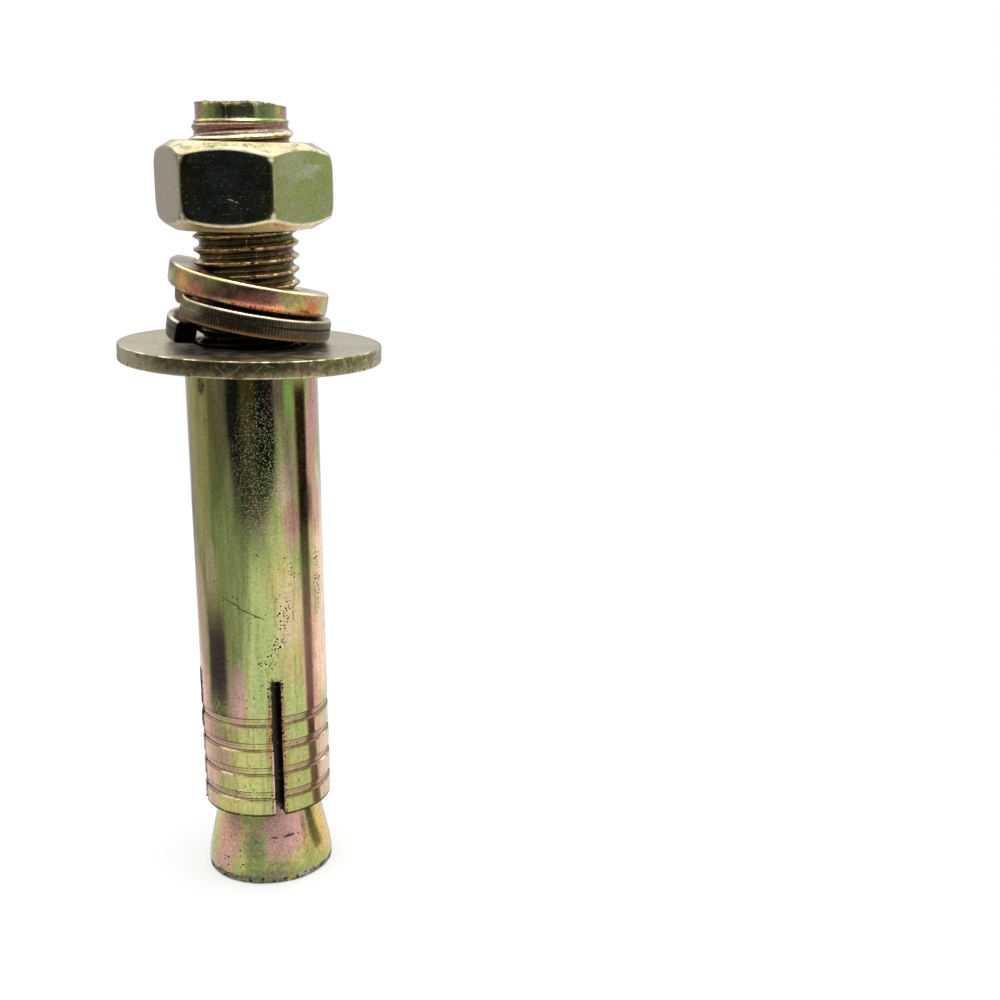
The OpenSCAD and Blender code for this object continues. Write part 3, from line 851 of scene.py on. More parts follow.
class Finish:
    """A metal finish under construction: its colour, roughness and surface height as sockets."""

    def __init__(self, name, size, stretch, tones, shares, roughness, grain=0.3):
        """Starts from chromate drifts of one size, in four tones, with the shares of the last two."""
        self.material = bpy.data.materials.new(name)
        self.tree = empty_tree(self.material)
        coordinates = put(self.tree, "TexCoord").outputs
        self.place = vectors(self.tree, "SCALE", coordinates["Object"], 1 / MM)
        self.normal = coordinates["Normal"]
        self.level = put(self.tree, "SeparateXYZ", {0: self.place}).outputs["Z"]
        self.radial = vectors(self.tree, "LENGTH", vectors(self.tree, "MULTIPLY", self.place, (1, 1, 0)))
        self.colour = effect(
            self.tree, "chromate_drift", "Colour", Place=self.place, Size=size, Stretch=stretch,
            Rose_share=shares[0], Lilac_share=shares[1], **dict(zip(("Leaf", "Gold", "Rose", "Lilac"), tones)),
        )
        haze = noise(self.tree, self.place, 0.35, 4.0, 0.6)
        self.roughness = self.step(haze, 0.3, 0.75, roughness * 0.75, roughness * 1.4)
        fine = noise(self.tree, self.place, 2.4, 5.0, 0.75)
        self.height = self.times(fine, 0.014)
        self.grain = self.step(fine, 0.3, 0.7, 1.0 - grain, 1.0 + grain)

    def mask(self, label):
        return put(self.tree, "Attribute", attribute_name=label).outputs["Fac"]

    def step(self, *values):
        return step(self.tree, *values)

    def times(self, *factors):
        return times(self.tree, *factors)

    def sum(self, first, second):
        return maths(self.tree, "ADD", first, second)

    def take(self, first, second):
        return maths(self.tree, "SUBTRACT", first, second)

    def rest(self, mask):
        return self.take(1.0, mask)

    def size(self, value):
        return maths(self.tree, "ABSOLUTE", value)

    def most(self, first, second):
        return maths(self.tree, "MAXIMUM", first, second)

    def area(self, phi, radius, height, width, length, ragged=0.8):
        """Mask of one soft ragged patch, phi degrees to the right of the front."""
        return effect(
            self.tree, "bloom_patch", Place=self.place, Centre=facing(phi, radius, height),
            Reach=(width, width, length), Raggedness=ragged,
        )

    def areas(self, *patches):
        """Mask of several patches."""
        total = self.area(*patches[0])
        for patch in patches[1:]:
            total = self.most(total, self.area(*patch))
        return total

    def noise(self, scale, detail, roughness):
        return noise(self.tree, self.place, scale, detail, roughness)

    def streaks(self, stretch, scale, detail, roughness):
        """Noise drawn out along the axes where stretch is small."""
        return noise(self.tree, vectors(self.tree, "MULTIPLY", self.place, stretch), scale, detail, roughness)

    def blotches(self, scale, low, high, detail=4.0):
        """Mask of random blotches."""
        return self.step(self.noise(scale, detail, 0.65), low, high)

    def marks(self, name, **sizes):
        return effect(self.tree, name, Place=self.place, Normal=self.normal, **sizes)

    def scratches(self, spacing, length, width, share):
        return self.marks("hair_scratches", Spacing=spacing, Length=length, Width=width, Share=share)

    def pits(self, spacing, size, share):
        return self.marks("black_pits", Spacing=spacing, Size=size, Share=share)

    def score(self, start, end, width, breaks=0.0):
        return self.marks("score_line", From=facing(*start), To=facing(*end), Width=width, Breaks=breaks)

    def patches(self, radius, rows):
        """Lays patches: colour, amount, degrees right of the front, height, width, length and raggedness."""
        for colour, amount, phi, *place in rows:
            self.lay(self.area(phi, radius, *place), colour, amount)

    def lay(self, mask, colour, amount=1.0, rough=None, height=0.0):
        """Lays a mask's colour, roughness and height over what is there."""
        share = self.times(mask, amount)
        self.colour = blend(self.tree, share, self.colour, colour)
        if rough is not None:
            self.roughness = self.sum(self.roughness, self.times(share, self.take(rough, self.roughness)))
        if height:
            self.height = self.sum(self.height, self.times(share, height))

    def finish(self, relief=0.35, edge=0.55):
        """Adds the fine grain and painted shade where the metal is seen at a glance, and closes the material.
        """
        tree = self.tree
        grain = put(tree, "CombineColor", {0: self.grain, 1: self.grain, 2: self.grain}).outputs[0]
        colour = blend(tree, 1.0, self.colour, grain, "MULTIPLY")
        normal = put(tree, "Bump", {"Height": self.height, "Distance": MM, "Strength": relief}).outputs[0]
        # Painted shade towards the silhouettes, against the bright grazing reflection
        facing_away = put(tree, "LayerWeight", {"Blend": 0.5}).outputs["Facing"]
        colour = blend(tree, self.step(facing_away, 0.72, 0.95, 0.0, edge), colour, GLANCE, "MULTIPLY")
        surface = put(
            tree, "BsdfPrincipled",
            {"Base Color": colour, "Roughness": self.roughness, "Metallic": 1.0, "Normal": normal},
        ).outputs[0]
        tree.links.new(surface, tree.nodes.new("ShaderNodeOutputMaterial").inputs["Surface"])
        return self.material


def sleeve_zinc():
    f = Finish("sleeve_zinc", 6.0, 5.0, (LEAF, STRAW, ROSE, LILAC), (0.46, 0.48), 0.10, 0.2)
    r = SLEEVE_R
    # Colour drifts, from the left edge round to the right one, and down
    f.patches(r, [
        (LIME, 0.9, -3, 42, 4.6, 11),
        (LIME, 0.9, -16, 51, 3.8, 12),
        ((0.33, 0.41, 0.14), 0.8, 0, 55, 3.6, 5),
        (STRAW, 0.9, -47, 71, 2.8, 14),
        ((0.40, 0.27, 0.16), 0.85, -33, 72, 0.9, 7, 0.6),
        ((0.30, 0.27, 0.08), 0.85, -39, 78, 0.7, 8, 0.6),
        (LIME, 0.8, -42, 62, 1.8, 5),
        (TAN, 0.6, -48, 53, 2.2, 6),
        (LEAF, 0.9, -29, 60, 2.4, 20),
        ((0.24, 0.15, 0.135), 0.85, -81, 66, 2.8, 20, 0.5),
        (PEACH, 0.9, -70, 43, 3.0, 16),
        ((0.62, 0.36, 0.28), 0.9, -64, 24, 3.6, 15),
        ((0.98, 0.60, 0.48), 0.9, -68, 33, 2.6, 6),
        (OLIVE, 0.8, 23, 80, 1.4, 6),
        ((0.34, 0.50, 0.13), 0.95, 32, 79.5, 1.4, 5),
        (LILAC, 0.9, 27, 66, 3.0, 6),
        (MAUVE, 0.8, 31, 58, 2.2, 4.5),
        (TAN, 0.9, 27, 46, 3.6, 9),
        ((0.55, 0.28, 0.24), 0.9, 66, 77, 3.0, 9),
        ((0.86, 0.55, 0.36), 0.9, 69, 54, 3.4, 18),
        ((0.66, 0.36, 0.26), 0.9, 47, 38, 2.6, 18),
        ((0.50, 0.27, 0.18), 0.9, 64, 61.5, 3.4, 6),
        ((0.62, 0.33, 0.28), 0.9, 55, 70, 2.0, 10, 0.5),
        ((0.32, 0.18, 0.14), 0.9, 31, 60.5, 2.4, 3.6),
        # Painted reflection: brown along the dark band that the right flag draws on this side
        ((0.28, 0.16, 0.11), 0.8, 45, 73, 1.5, 13, 0.5),
        ((0.58, 0.28, 0.23), 0.8, 50, 30, 2, 7),
        ((0.95, 0.60, 0.44), 0.9, 66, 38, 3, 10),
        ((0.70, 0.44, 0.34), 0.85, 60, 20, 3.8, 12),
        ((0.62, 0.37, 0.31), 0.9, -25, 32, 2.4, 7),
        (UMBER, 0.9, -42, 38, 2.2, 10, 0.5),
        (LIME, 0.7, -4, 32, 3.2, 6),
        ((0.46, 0.29, 0.22), 0.8, -44, 22, 2.8, 6),
        ((0.50, 0.50, 0.18), 0.85, -13, 19, 4.0, 11),
        (GOLD, 0.6, -38, 13.5, 5, 1.6),
        (LIME, 0.8, 28, 29, 2.6, 6),
        (ORANGE, 0.7, 3.2, 24, 0.95, 10, 0.9),
        (ORANGE, 0.7, 16, 24, 0.95, 10, 0.9),
    ])
    # Drawing streaks along the tube
    streaks = f.streaks((1, 1, 0.06), 1.5, 4.0, 0.7)
    f.lay(f.step(streaks, 0.5, 0.68), (0.15, 0.13, 0.055), 0.45)
    f.lay(f.step(streaks, 0.46, 0.34), PEACH, 0.22)
    # Recesses of the grooves are painted browner as a reflection of the shaded floor, except at the front
    recess_left_plain = f.rest(f.area(-2, r, 20, 5.5, 24, 0.5))
    f.lay(f.times(f.mask("recess"), recess_left_plain), (0.34, 0.20, 0.14), 0.6, 0.22)
    # Dark lines painted round the tube as shade along the grooves, at their heights over 1 mm under each ledge
    first, last = GROOVE_LEDGES[0], GROOVE_LEDGES[-1]
    rise = maths(f.tree, "MODULO", f.take(f.level, first - 1), GROOVE_LEDGES[1] - first)
    grooved = f.times(f.step(f.level, first - 0.6, first - 0.5), f.step(f.level, last + 1.6, last + 1.5))
    for level, half, dark in ((1.22, 0.12, 0.9), (1.85, 0.06, 0.5), (2.34, 0.13, 0.95), (0.88, 0.06, 0.6)):
        line = f.step(f.size(f.take(rise, level)), half, half * 0.5)
        f.lay(f.times(line, grooved, f.blotches(0.7, 0.3, 0.46)), (0.10, 0.055, 0.035), dark, 0.4)
    # Pits in clusters, single pits, and the burnt spot under the washer
    pits = f.most(f.pits(0.52, 0.38, 0.4), f.pits(0.9, 0.30, 0.6))
    pitted = f.areas(
        (20, r, 46, 2.2, 4.6, 1.2), (12, r, 40.5, 1.6, 2.0, 1.2), (28, r, 52, 1.1, 3, 1.2),
        (3, r, 38, 1.8, 2.4, 1.2), (-24, r, 16, 3.4, 2.0, 1.4), (62, r, 50, 1.6, 8, 1.2),
        (150, r, 50, 3, 9, 1.2), (-140, r, 30, 3, 8, 1.2),
    )
    f.lay(f.times(pits, pitted), SOOT, 1.0, 0.6, -0.03)
    # Painted highlights round the clustered pits
    pit_highlight = f.pits(0.9, 0.55, 0.6)
    f.lay(f.times(pit_highlight, pitted, f.rest(pits)), (0.80, 0.70, 0.36), 0.5, 0.2)
    f.lay(f.pits(1.1, 0.14, 0.12), SOOT, 0.9, 0.6, -0.02)
    burnt = f.area(-49, r, 80.9, 1.2, 1.9, 0.8)
    f.lay(burnt, BROWN, 0.8, 0.5)
    # Painted reflection: the dark band's brown and its darker core, along the right flag's band
    f.patches(r, [((0.17, 0.105, 0.06), 0.9, 49, 62.4, 1.9, 5.5, 0.5)])
    dark_band_core = f.areas((47.5, r, 62.4, 1.0, 2.6, 0.5), (44, r, 71, 0.7, 3.4, 0.9))
    f.lay(dark_band_core, (0.07, 0.045, 0.03), 0.9, 0.3)
    f.patches(r, [((0.30, 0.26, 0.07), 0.9, 42, 80.5, 1.4, 2.6, 1.0)])
    f.lay(f.times(f.pits(0.55, 0.42, 0.9), burnt), SOOT, 1.0, 0.6)
    f.lay(f.area(33, r, 39.5, 0.9, 1.7, 1.0), GOLD, 0.9, 0.3)
    # Fine flecks, thickest on the side that faced the camera, and paler scuffs
    handled = f.area(1, r, 68, 5.2, 20, 0.5)
    for spacing, width, colour in ((0.42, 0.13, (0.40, 0.44, 0.33)), (0.6, 0.09, (0.52, 0.54, 0.30))):
        flecks = f.scratches(spacing, 0.42, width, 0.7)
        f.lay(f.times(flecks, handled), colour, 0.95, 0.62, 0.01)
    f.lay(f.scratches(1.1, 0.4, 0.06, 0.5), STRAW, 0.5, 0.4)
    scuffed = f.areas(
        (-10, r, 42, 1.6, 6, 1.4), (-19, r, 34, 1.8, 5, 1.4), (8, r, 30, 6, 14, 1.0), (10, r, 58, 3, 4, 1.4),
        (-32, r, 31, 2.0, 4, 1.4), (-46, r, 29, 2.6, 5, 1.2), (170, r, 40, 6, 16, 1.2),
    )
    for spacing, share in ((0.7, 0.5), (1.0, 0.6)):
        f.lay(f.times(f.scratches(spacing, 0.5, 0.09, share), scuffed), PALE, 0.8, 0.5, 0.01)
    f.lay(f.score((-35, r + 0.1, 48.4), (3, r + 0.1, 44.7), 0.18), SOOT, 0.65, 0.4, -0.01)
    f.lay(f.score((8, r, 62), (26, r, 60.2), 0.13, 0.3), STRAW, 0.7, 0.4)
    # Saw burrs, groove ledges, the lower rim and the unlit bore
    burr = f.mask("burr")
    f.lay(f.step(burr, 0.3, 0.9), MAUVE, 0.8, 0.4)
    f.lay(f.times(burr, f.blotches(2.6, 0.46, 0.54)), SOOT, 0.97, 0.7)
    beads = f.most(f.pits(0.34, 0.46, 0.5), f.pits(0.7, 0.34, 0.5))
    f.lay(f.times(beads, f.step(burr, 0.01, 0.12)), SOOT, 0.95, 0.6)
    # Painted highlight on the slots' walls near the outer face, low down
    lit_slot_wall = f.times(f.step(burr, 0.86, 0.97), f.blotches(0.9, 0.3, 0.42))
    lit_slot_wall = f.times(lit_slot_wall, f.step(f.radial, 9.5, 9.75), f.step(f.level, 27, 23))
    f.lay(lit_slot_wall, (0.78, 0.47, 0.44), 0.9, 0.3)
    f.lay(f.mask("wear_and_highlight"), (0.20, 0.125, 0.07), 0.9, 0.3)
    # Painted highlights on the groove ledges, in three zones round the tube
    ledge_highlight_zones = f.areas((-36, r, 18, 3.4, 13, 0.3), (66, r, 20, 2.4, 6, 0.9), (170, r, 18, 7, 10, 0.9))
    f.lay(f.times(f.mask("wear_and_highlight"), ledge_highlight_zones, f.blotches(0.5, 0.36, 0.5)), (0.86, 0.74, 0.46), 0.95, 0.2)
    rim = f.times(f.step(f.level, SLEEVE_Z + 0.55, SLEEVE_Z + 0.35), f.blotches(1.4, 0.26, 0.42))
    f.lay(rim, (0.05, 0.03, 0.02), 0.95, 0.6)
    f.lay(f.step(f.radial, 9.5, 9.0), SOOT, 0.9, 0.5)
    return f.finish()


def stud_zinc():
    f = Finish("stud_zinc", 5.0, 1.6, (LEAF, STRAW, ROSE, LILAC), (0.52, 0.5), 0.17)
    # The cone's colour drifts, and the greyer band round its foot
    r = 9.0
    f.patches(r, [
        ((0.54, 0.30, 0.235), 0.9, -47, 7, 4.0, 7),
        ((0.215, 0.235, 0.095), 0.95, -17, 5, 2.8, 5),
    ])
    f.patches(10, [((0.20, 0.25, 0.07), 0.9, -4, 3.0, 5.5, 1.6)])
    f.patches(r, [
        ((0.60, 0.33, 0.30), 0.95, 16, 9, 5.2, 6.4),
        (ROSE, 0.6, 22, 12, 2.0, 2.4),
        (ORANGE, 0.5, 38, 5, 1.4, 4.5),
        ((0.70, 0.48, 0.15), 0.9, 68, 6, 3.4, 7),
    ])
    # Painted reflection: a narrow dark strip on the cone, along the right flag's band
    f.patches(8.7, [((0.14, 0.08, 0.04), 0.6, 37, 9.5, 0.6, 5.5, 0.3)])
    f.patches(9.5, [((0.15, 0.155, 0.065), 0.8, -2, 1.5, 6.5, 1.4)])
    # The thread is painted far darker and browner than the rest as shade between its turns: fine laps along its
    # flanks, painted shade in its roots, painted glints on its crests and painted highlights on its flanks
    crest = f.mask("crest")
    thread = f.step(f.level, THREAD_LOW, THREAD_LOW + 1)
    thread = f.times(thread, f.step(f.level, THREAD_TOP + 0.1, THREAD_TOP - 0.6))
    tone = blend(f.tree, f.blotches(0.5, 0.40, 0.58), (0.25, 0.145, 0.07), (0.30, 0.26, 0.10))
    f.lay(thread, tone, 0.95, 0.24)
    laps = f.streaks((0.12, 0.12, 1), 4.2, 3.0, 0.7)
    f.lay(f.times(thread, f.step(laps, 0.52, 0.4)), SOOT, 0.6, 0.35)
    # Painted shade in the roots
    f.lay(f.times(thread, f.step(crest, 0.45, 0.05)), SOOT, 0.7, 0.4)
    # Painted glints on the crests
    glint = f.times(f.step(crest, 0.9, 0.98), f.blotches(0.8, 0.5, 0.6))
    f.lay(f.times(thread, glint), (0.90, 0.82, 0.56), 0.85, 0.2)
    # Painted highlights along the middle of the flanks
    flank = f.times(f.step(crest, 0.3, 0.45), f.step(crest, 0.62, 0.5))
    f.lay(f.times(thread, flank, f.blotches(0.4, 0.46, 0.54)), (1.0, 0.88, 0.34), 0.9, 0.16)
    red = f.times(f.step(crest, 0.5, 0.7), f.blotches(0.3, 0.48, 0.58, 2.0))
    f.lay(f.times(thread, red), (0.40, 0.20, 0.13), 0.6, 0.24)
    # The first turns above the nut are painted with highlights on their crests and mauve in their roots; those
    # under the washers are painted dark as shade
    first_turns = f.times(thread, f.step(f.level, THREAD_TOP - 4, THREAD_TOP - 2))
    f.lay(f.times(first_turns, f.step(crest, 0.5, 0.2)), MAUVE, 0.7, 0.2)
    bright = f.times(f.step(crest, 0.3, 0.7), f.blotches(0.8, 0.34, 0.46))
    f.lay(f.times(first_turns, bright), (1.0, 0.94, 0.64), 0.95, 0.14)
    f.lay(f.times(first_turns, f.step(laps, 0.5, 0.42)), BROWN, 0.6, 0.3)
    # Painted shade on the turns inside the washers
    f.lay(f.times(thread, f.step(f.level, 94, 91)), SOOT, 0.99, 0.35)
    # Shank: painted dark as shade inside the sleeve, where it shows through the slots
    shank = f.times(f.step(f.level, SLEEVE_Z + 0.2, SLEEVE_Z + 1.4), f.step(f.level, 82, 78))
    f.lay(shank, SOOT, 0.93, 0.35)
    # Plain end, sheared face, worn foot
    f.patches(END_R, [
        (OLIVE, 0.8, -26, 121, 1.5, 2.2),
        ((1.0, 0.95, 0.50), 0.95, 4, 121, 2.6, 2.2),
        (LIME, 0.9, -42, 121, 1.5, 2.2),
        ((0.43, 0.23, 0.23), 0.95, -74, 121, 2.6, 2.6, 0.4),
        ((0.175, 0.24, 0.10), 0.9, 36, 121, 2.6, 2.6),
        ((0.32, 0.17, 0.125), 0.95, 74, 121, 2.6, 2.6, 0.4),
    ])
    f.lay(f.score((-19, 6.75, 121.9), (-17.5, 6.75, 119.8), 0.1), PALE, 0.7, 0.3)
    f.lay(f.mask("cut"), STRAW, 0.7, 0.45, 0.05)
    f.lay(f.times(f.mask("cut"), f.blotches(1.9, 0.40, 0.52, 5.0)), (0.09, 0.06, 0.035), 0.92, 0.6)
    scraped = f.step(f.sum(f.mask("wear_and_highlight"), f.take(f.noise(0.9, 5.0, 0.7), 0.5)), 0.42, 0.56)
    f.lay(scraped, (0.165, 0.17, 0.105), 0.9, 0.42, -0.01)
    f.lay(f.times(scraped, f.area(34, 11.4, 1.8, 4, 2, 1.0)), (0.50, 0.50, 0.42), 0.8, 0.45)
    f.lay(f.times(scraped, f.blotches(1.7, 0.50, 0.58)), SOOT, 0.85, 0.6)
    near_foot = f.step(f.level, 16.0, 3.0)
    f.lay(f.times(f.pits(1.3, 0.16, 0.3), near_foot), SOOT, 0.9, 0.6, -0.02)
    f.lay(f.scratches(1.2, 0.5, 0.06, 0.4), PALE, 0.6, 0.45)
    f.lay(f.times(f.scratches(0.7, 0.45, 0.08, 0.3), near_foot), STRAW, 0.6, 0.45)
    f.lay(f.score((-2, 9.1, 7.6), (33, 9.1, 7.5), 0.3, 0.42), SOOT, 0.9, 0.5)
    return f.finish()


def washer_zinc():
    tones = (0.42, 0.38, 0.25), (0.48, 0.43, 0.29), (0.50, 0.41, 0.31), (0.44, 0.40, 0.33)
    f = Finish("washer_zinc", 6.0, 1.0, tones, (0.5, 0.5), 0.36, 0.2)
    rim = f.step(f.radial, WASHER_R - 0.35, WASHER_R - 0.2)
    tone = blend(f.tree, f.blotches(0.35, 0.42, 0.6), (0.15, 0.165, 0.05), (0.165, 0.115, 0.065))
    f.lay(rim, tone, 0.95, 0.3)
    f.patches(WASHER_R, [
        ((0.56, 0.49, 0.33), 0.8, -62, 85.5, 9, 3),
        ((0.38, 0.31, 0.24), 0.5, 74, 85, 6, 3),
    ])
    f.lay(f.times(rim, f.blotches(1.1, 0.5, 0.6, 5.0)), (0.42, 0.37, 0.15), 0.7, 0.3)
    sparks = f.times(f.area(64, WASHER_R, 84.6, 9, 4, 0.5), f.scratches(0.8, 0.35, 0.14, 0.5))
    f.lay(f.times(rim, sparks), (0.8, 0.76, 0.56), 0.9, 0.3)
    f.lay(f.times(rim, f.blotches(0.7, 0.54, 0.66, 5.0)), BROWN, 0.7, 0.4)
    f.lay(f.times(f.scratches(0.9, 0.4, 0.07, 0.3), rim), PALE, 0.5, 0.5, 0.01)
    f.lay(f.scratches(1.4, 0.45, 0.05, 0.5), PALE, 0.35, 0.42)
    # Torn lower part of the punched rim, finely ribbed
    ribs = f.streaks((1, 1, 0.15), 2.6, 3.0, 0.6)
    torn = f.mask("torn")
    f.lay(f.times(torn, f.step(ribs, 0.5, 0.62)), (0.40, 0.31, 0.20), 0.7, 0.5, 0.08)
    f.lay(f.times(torn, f.step(ribs, 0.48, 0.4)), BROWN, 0.85, 0.6)
    f.lay(f.times(f.mask("brink"), f.blotches(1.0, 0.36, 0.5)), (0.70, 0.60, 0.36), 0.85, 0.35)
    lip = f.sum(f.mask("wear_and_highlight"), f.take(f.noise(1.1, 4.0, 0.7), 0.5))
    f.lay(f.step(lip, 0.56, 0.78), (0.70, 0.64, 0.45), 0.9, 0.28)
    f.lay(f.pits(1.6, 0.2, 0.14), SOOT, 0.6, 0.6)
    # Scores across the rim: degrees round and height at both ends
    for a, low, b, high in (
        (-10, 84.3, -4, 86.1), (-15, 86.0, -10, 84.3), (-1, 84.2, 5, 86.1), (5, 86.1, 9, 85.4),
    ):
        cut = f.score((a, WASHER_R, low), (b, WASHER_R, high), 0.13, 0.3)
        f.lay(cut, (0.66, 0.54, 0.26), 0.85, 0.35)
    return f.finish()


def spring_steel():
    tones = (0.13, 0.115, 0.065), (0.17, 0.13, 0.08), (0.14, 0.09, 0.065), (0.14, 0.12, 0.085)
    f = Finish("spring_steel", 5.0, 1.0, tones, (0.48, 0.5), 0.24, 0.25)
    # Painted shade in the valleys between the ribs and in the rolled line's groove
    f.lay(f.mask("valley"), SOOT, 0.55, 0.35)
    f.lay(f.step(f.mask("rolled"), 0.3, 0.7), SOOT, 0.97, 0.6)
    # Painted highlight along the top outer edge
    f.lay(f.times(f.mask("wear_and_highlight"), f.blotches(0.9, 0.30, 0.44)), (1.0, 0.88, 0.64), 0.95, 0.17)
    f.lay(f.mask("copper"), (0.30, 0.155, 0.08), 0.5, 0.26)
    f.lay(f.blotches(2.4, 0.56, 0.66, 3.0), BROWN, 0.5, 0.5)
    f.patches(LOWER_SPRING[0], [
        ((0.34, 0.29, 0.18), 0.9, -48, 93.2, 4, 2.4),
        ((0.07, 0.058, 0.036), 0.9, -74, 88.5, 3.6, 2.6),
    ])
    f.lay(f.scratches(0.9, 0.45, 0.06, 0.4), (0.5, 0.45, 0.32), 0.5, 0.4)
    cut = f.mask("cut")
    f.lay(cut, (0.006, 0.005, 0.004), 1.0, 0.4)
    f.lay(f.times(cut, f.blotches(1.3, 0.62, 0.68)), BROWN, 0.5, 0.4)
    return f.finish()


def spring_zinc():
    tones = (0.44, 0.38, 0.15), (0.58, 0.42, 0.18), (0.52, 0.28, 0.20), (0.46, 0.34, 0.24)
    f = Finish("spring_zinc", 5.0, 1.0, tones, (0.54, 0.46), 0.24)
    r = UPPER_SPRING[0]
    f.patches(r, [
        ((0.50, 0.51, 0.155), 0.95, -77, 96.5, 3.4, 3.4),
        ((1.0, 0.58, 0.20), 0.95, -53, 95.6, 2.3, 3),
        ((1.0, 0.34, 0.26), 0.95, -40, 94.8, 2.3, 3.0),
        ((0.30, 0.17, 0.12), 0.85, -26, 94.2, 2.2, 3.0),
    ])
    f.lay(f.area(-3, r, 92.9, 5, 2.8), (1.0, 0.34, 0.25), 0.95, 0.34)
    f.patches(r, [
        ((1.0, 0.42, 0.18), 0.85, 17, 92.4, 2.6, 2.0),
        ((0.62, 0.18, 0.07), 0.95, 48, 91.4, 4.4, 3.0),
        ((0.62, 0.50, 0.14), 0.7, 37, 92.8, 2.4, 1.2),
        ((0.60, 0.27, 0.16), 0.8, 40, 90, 4, 1.3),
        ((0.50, 0.46, 0.17), 0.8, 68, 92.4, 2.4, 2.2),
    ])
    mottled = f.times(f.area(40, r, 92, 7, 3), f.blotches(1.3, 0.5, 0.6, 5.0))
    f.lay(mottled, (0.80, 0.52, 0.17), 0.6, 0.24)
    # Painted highlight along the top outer edge
    f.lay(f.times(f.mask("wear_and_highlight"), f.blotches(0.7, 0.26, 0.4)), (1.0, 0.82, 0.50), 0.95, 0.15)
    copper = f.mask("copper")
    f.lay(copper, (0.36, 0.15, 0.08), 0.5, 0.25)
    f.lay(f.times(f.pits(0.42, 0.42, 0.9), f.step(copper, 0.4, 0.7)), SOOT, 0.95, 0.4)
    f.patches(r, [((0.80, 0.26, 0.13), 0.95, -122, 93.6, 5, 2.8, 0.4)])
    f.patches(11, [((0.10, 0.085, 0.05), 0.9, -84, 99.2, 5.5, 1.7, 0.5)])
    f.lay(f.mask("cut"), (0.34, 0.32, 0.24), 0.8, 0.45)
    f.lay(f.blotches(1.6, 0.58, 0.68), OLIVE, 0.5)
    f.lay(f.scratches(1.3, 0.45, 0.05, 0.4), PALE, 0.45, 0.4)
    return f.finish()


def nut_zinc():
    tones = (0.27, 0.30, 0.12), (0.34, 0.31, 0.15), (0.38, 0.29, 0.22), (0.32, 0.28, 0.20)
    f = Finish("nut_zinc", 7.0, 1.2, tones, (0.46, 0.46), 0.15, 0.2)
    f.patches(12, [
        ((0.43, 0.30, 0.205), 0.95, -78, 110, 10, 16, 0.3),
        ((0.265, 0.325, 0.095), 0.95, 52, 109.5, 13, 17, 0.3),
        ((0.30, 0.36, 0.30), 0.9, -12, 109.5, 6.6, 10, 0.3),
    ])
    f.patches(12.6, [((0.33, 0.31, 0.19), 0.6, 72, 106, 1.6, 4)])
    f.patches(12, [
        ((0.30, 0.31, 0.13), 0.7, 26, 110, 2.2, 6),
        ((0.40, 0.42, 0.24), 0.6, 36, 113.5, 4.0, 3.0),
        ((0.34, 0.30, 0.15), 0.6, 38, 105.5, 4.0, 2.6),
    ])
    f.lay(f.blotches(0.5, 0.44, 0.6), (0.34, 0.36, 0.24), 0.28)
    chamfer, wear_and_highlight = f.mask("chamfer"), f.mask("wear_and_highlight")
    f.lay(chamfer, (0.13, 0.10, 0.06), 0.9, 0.2)
    f.lay(f.times(chamfer, f.blotches(0.45, 0.42, 0.52, 5.0)), (0.70, 0.61, 0.32), 0.9, 0.18)
    turned = f.streaks((0.25, 0.25, 2.6), 1.2, 3.0, 0.6)
    f.lay(f.times(chamfer, f.step(turned, 0.5, 0.6)), (0.58, 0.60, 0.14), 0.75, 0.14)
    f.lay(f.times(chamfer, f.step(turned, 0.42, 0.34)), (0.24, 0.15, 0.08), 0.7, 0.2)
    under = f.times(chamfer, f.step(f.level, NUT_Z + 4, NUT_Z + 3))
    top = f.step(f.radial, NUT_FACE_R + 0.3, NUT_FACE_R)
    f.lay(f.times(top, f.step(f.level, NUT_TOP - 1.4, NUT_TOP - 1.0)), (0.52, 0.37, 0.26), 0.9, 0.3)
    f.lay(under, (0.82, 0.60, 0.40), 0.9, 0.5)
    # Painted highlight on the lower chamfer, right of the front
    f.lay(f.times(under, f.area(14, 11.5, NUT_Z + 0.8, 3.4, 1.6, 0.5)), (1.0, 0.86, 0.40), 1.0, 0.6)
    f.lay(f.times(chamfer, f.blotches(0.8, 0.5, 0.62)), (0.42, 0.27, 0.20), 0.6, 0.24)
    f.lay(f.times(wear_and_highlight, f.blotches(0.9, 0.34, 0.5)), (0.58, 0.50, 0.34), 0.75, 0.26)
    # Painted highlight along the lower edges
    low_edge = f.times(f.step(wear_and_highlight, 0.4, 0.8), f.step(f.level, NUT_Z + 3, NUT_Z + 2.4))
    f.lay(f.times(low_edge, f.blotches(0.9, 0.3, 0.44)), (0.9, 0.82, 0.62), 0.8, 0.5)
    # Dust and small scratches, which show as light specks where the metal mirrors the dark
    f.lay(f.blotches(1.5, 0.56, 0.68, 5.0), (0.20, 0.21, 0.13), 0.4, 0.36)
    for spacing, share in ((0.45, 0.22), (0.8, 0.3)):
        f.lay(f.scratches(spacing, 0.4, 0.08, share), (0.42, 0.43, 0.38), 0.6, 0.55)
    scuffed = f.areas((52, 12, 112.2, 2.6, 1.5, 1.2), (60, 12, 112.6, 2.6, 0.8, 1.2))
    f.lay(scuffed, (0.5, 0.5, 0.4), 0.45, 0.4)
    f.lay(f.times(f.scratches(0.6, 0.5, 0.12, 0.8), scuffed), PALE, 0.9, 0.5)
    for start, end, width, breaks, colour, amount, rough in (
        ((-13, 12, 108.6), (-3, 11.85, 108.1), 0.13, 0.4, (0.66, 0.60, 0.32), 0.85, 0.55),
        ((-3, 11.85, 108.1), (14, 12.1, 107.5), 0.08, 0.42, (0.4, 0.4, 0.3), 0.5, 0.55),
        ((-38, 13, 111.2), (-20, 12.2, 111.0), 0.07, 0.42, (0.4, 0.4, 0.3), 0.35, 0.5),
        ((50, 12, 113.0), (76, 12.8, 112.9), 0.1, 0.3, PALE, 0.6, 0.5),
    ):
        f.lay(f.score(start, end, width, breaks), colour, amount, rough)
    return f.finish()


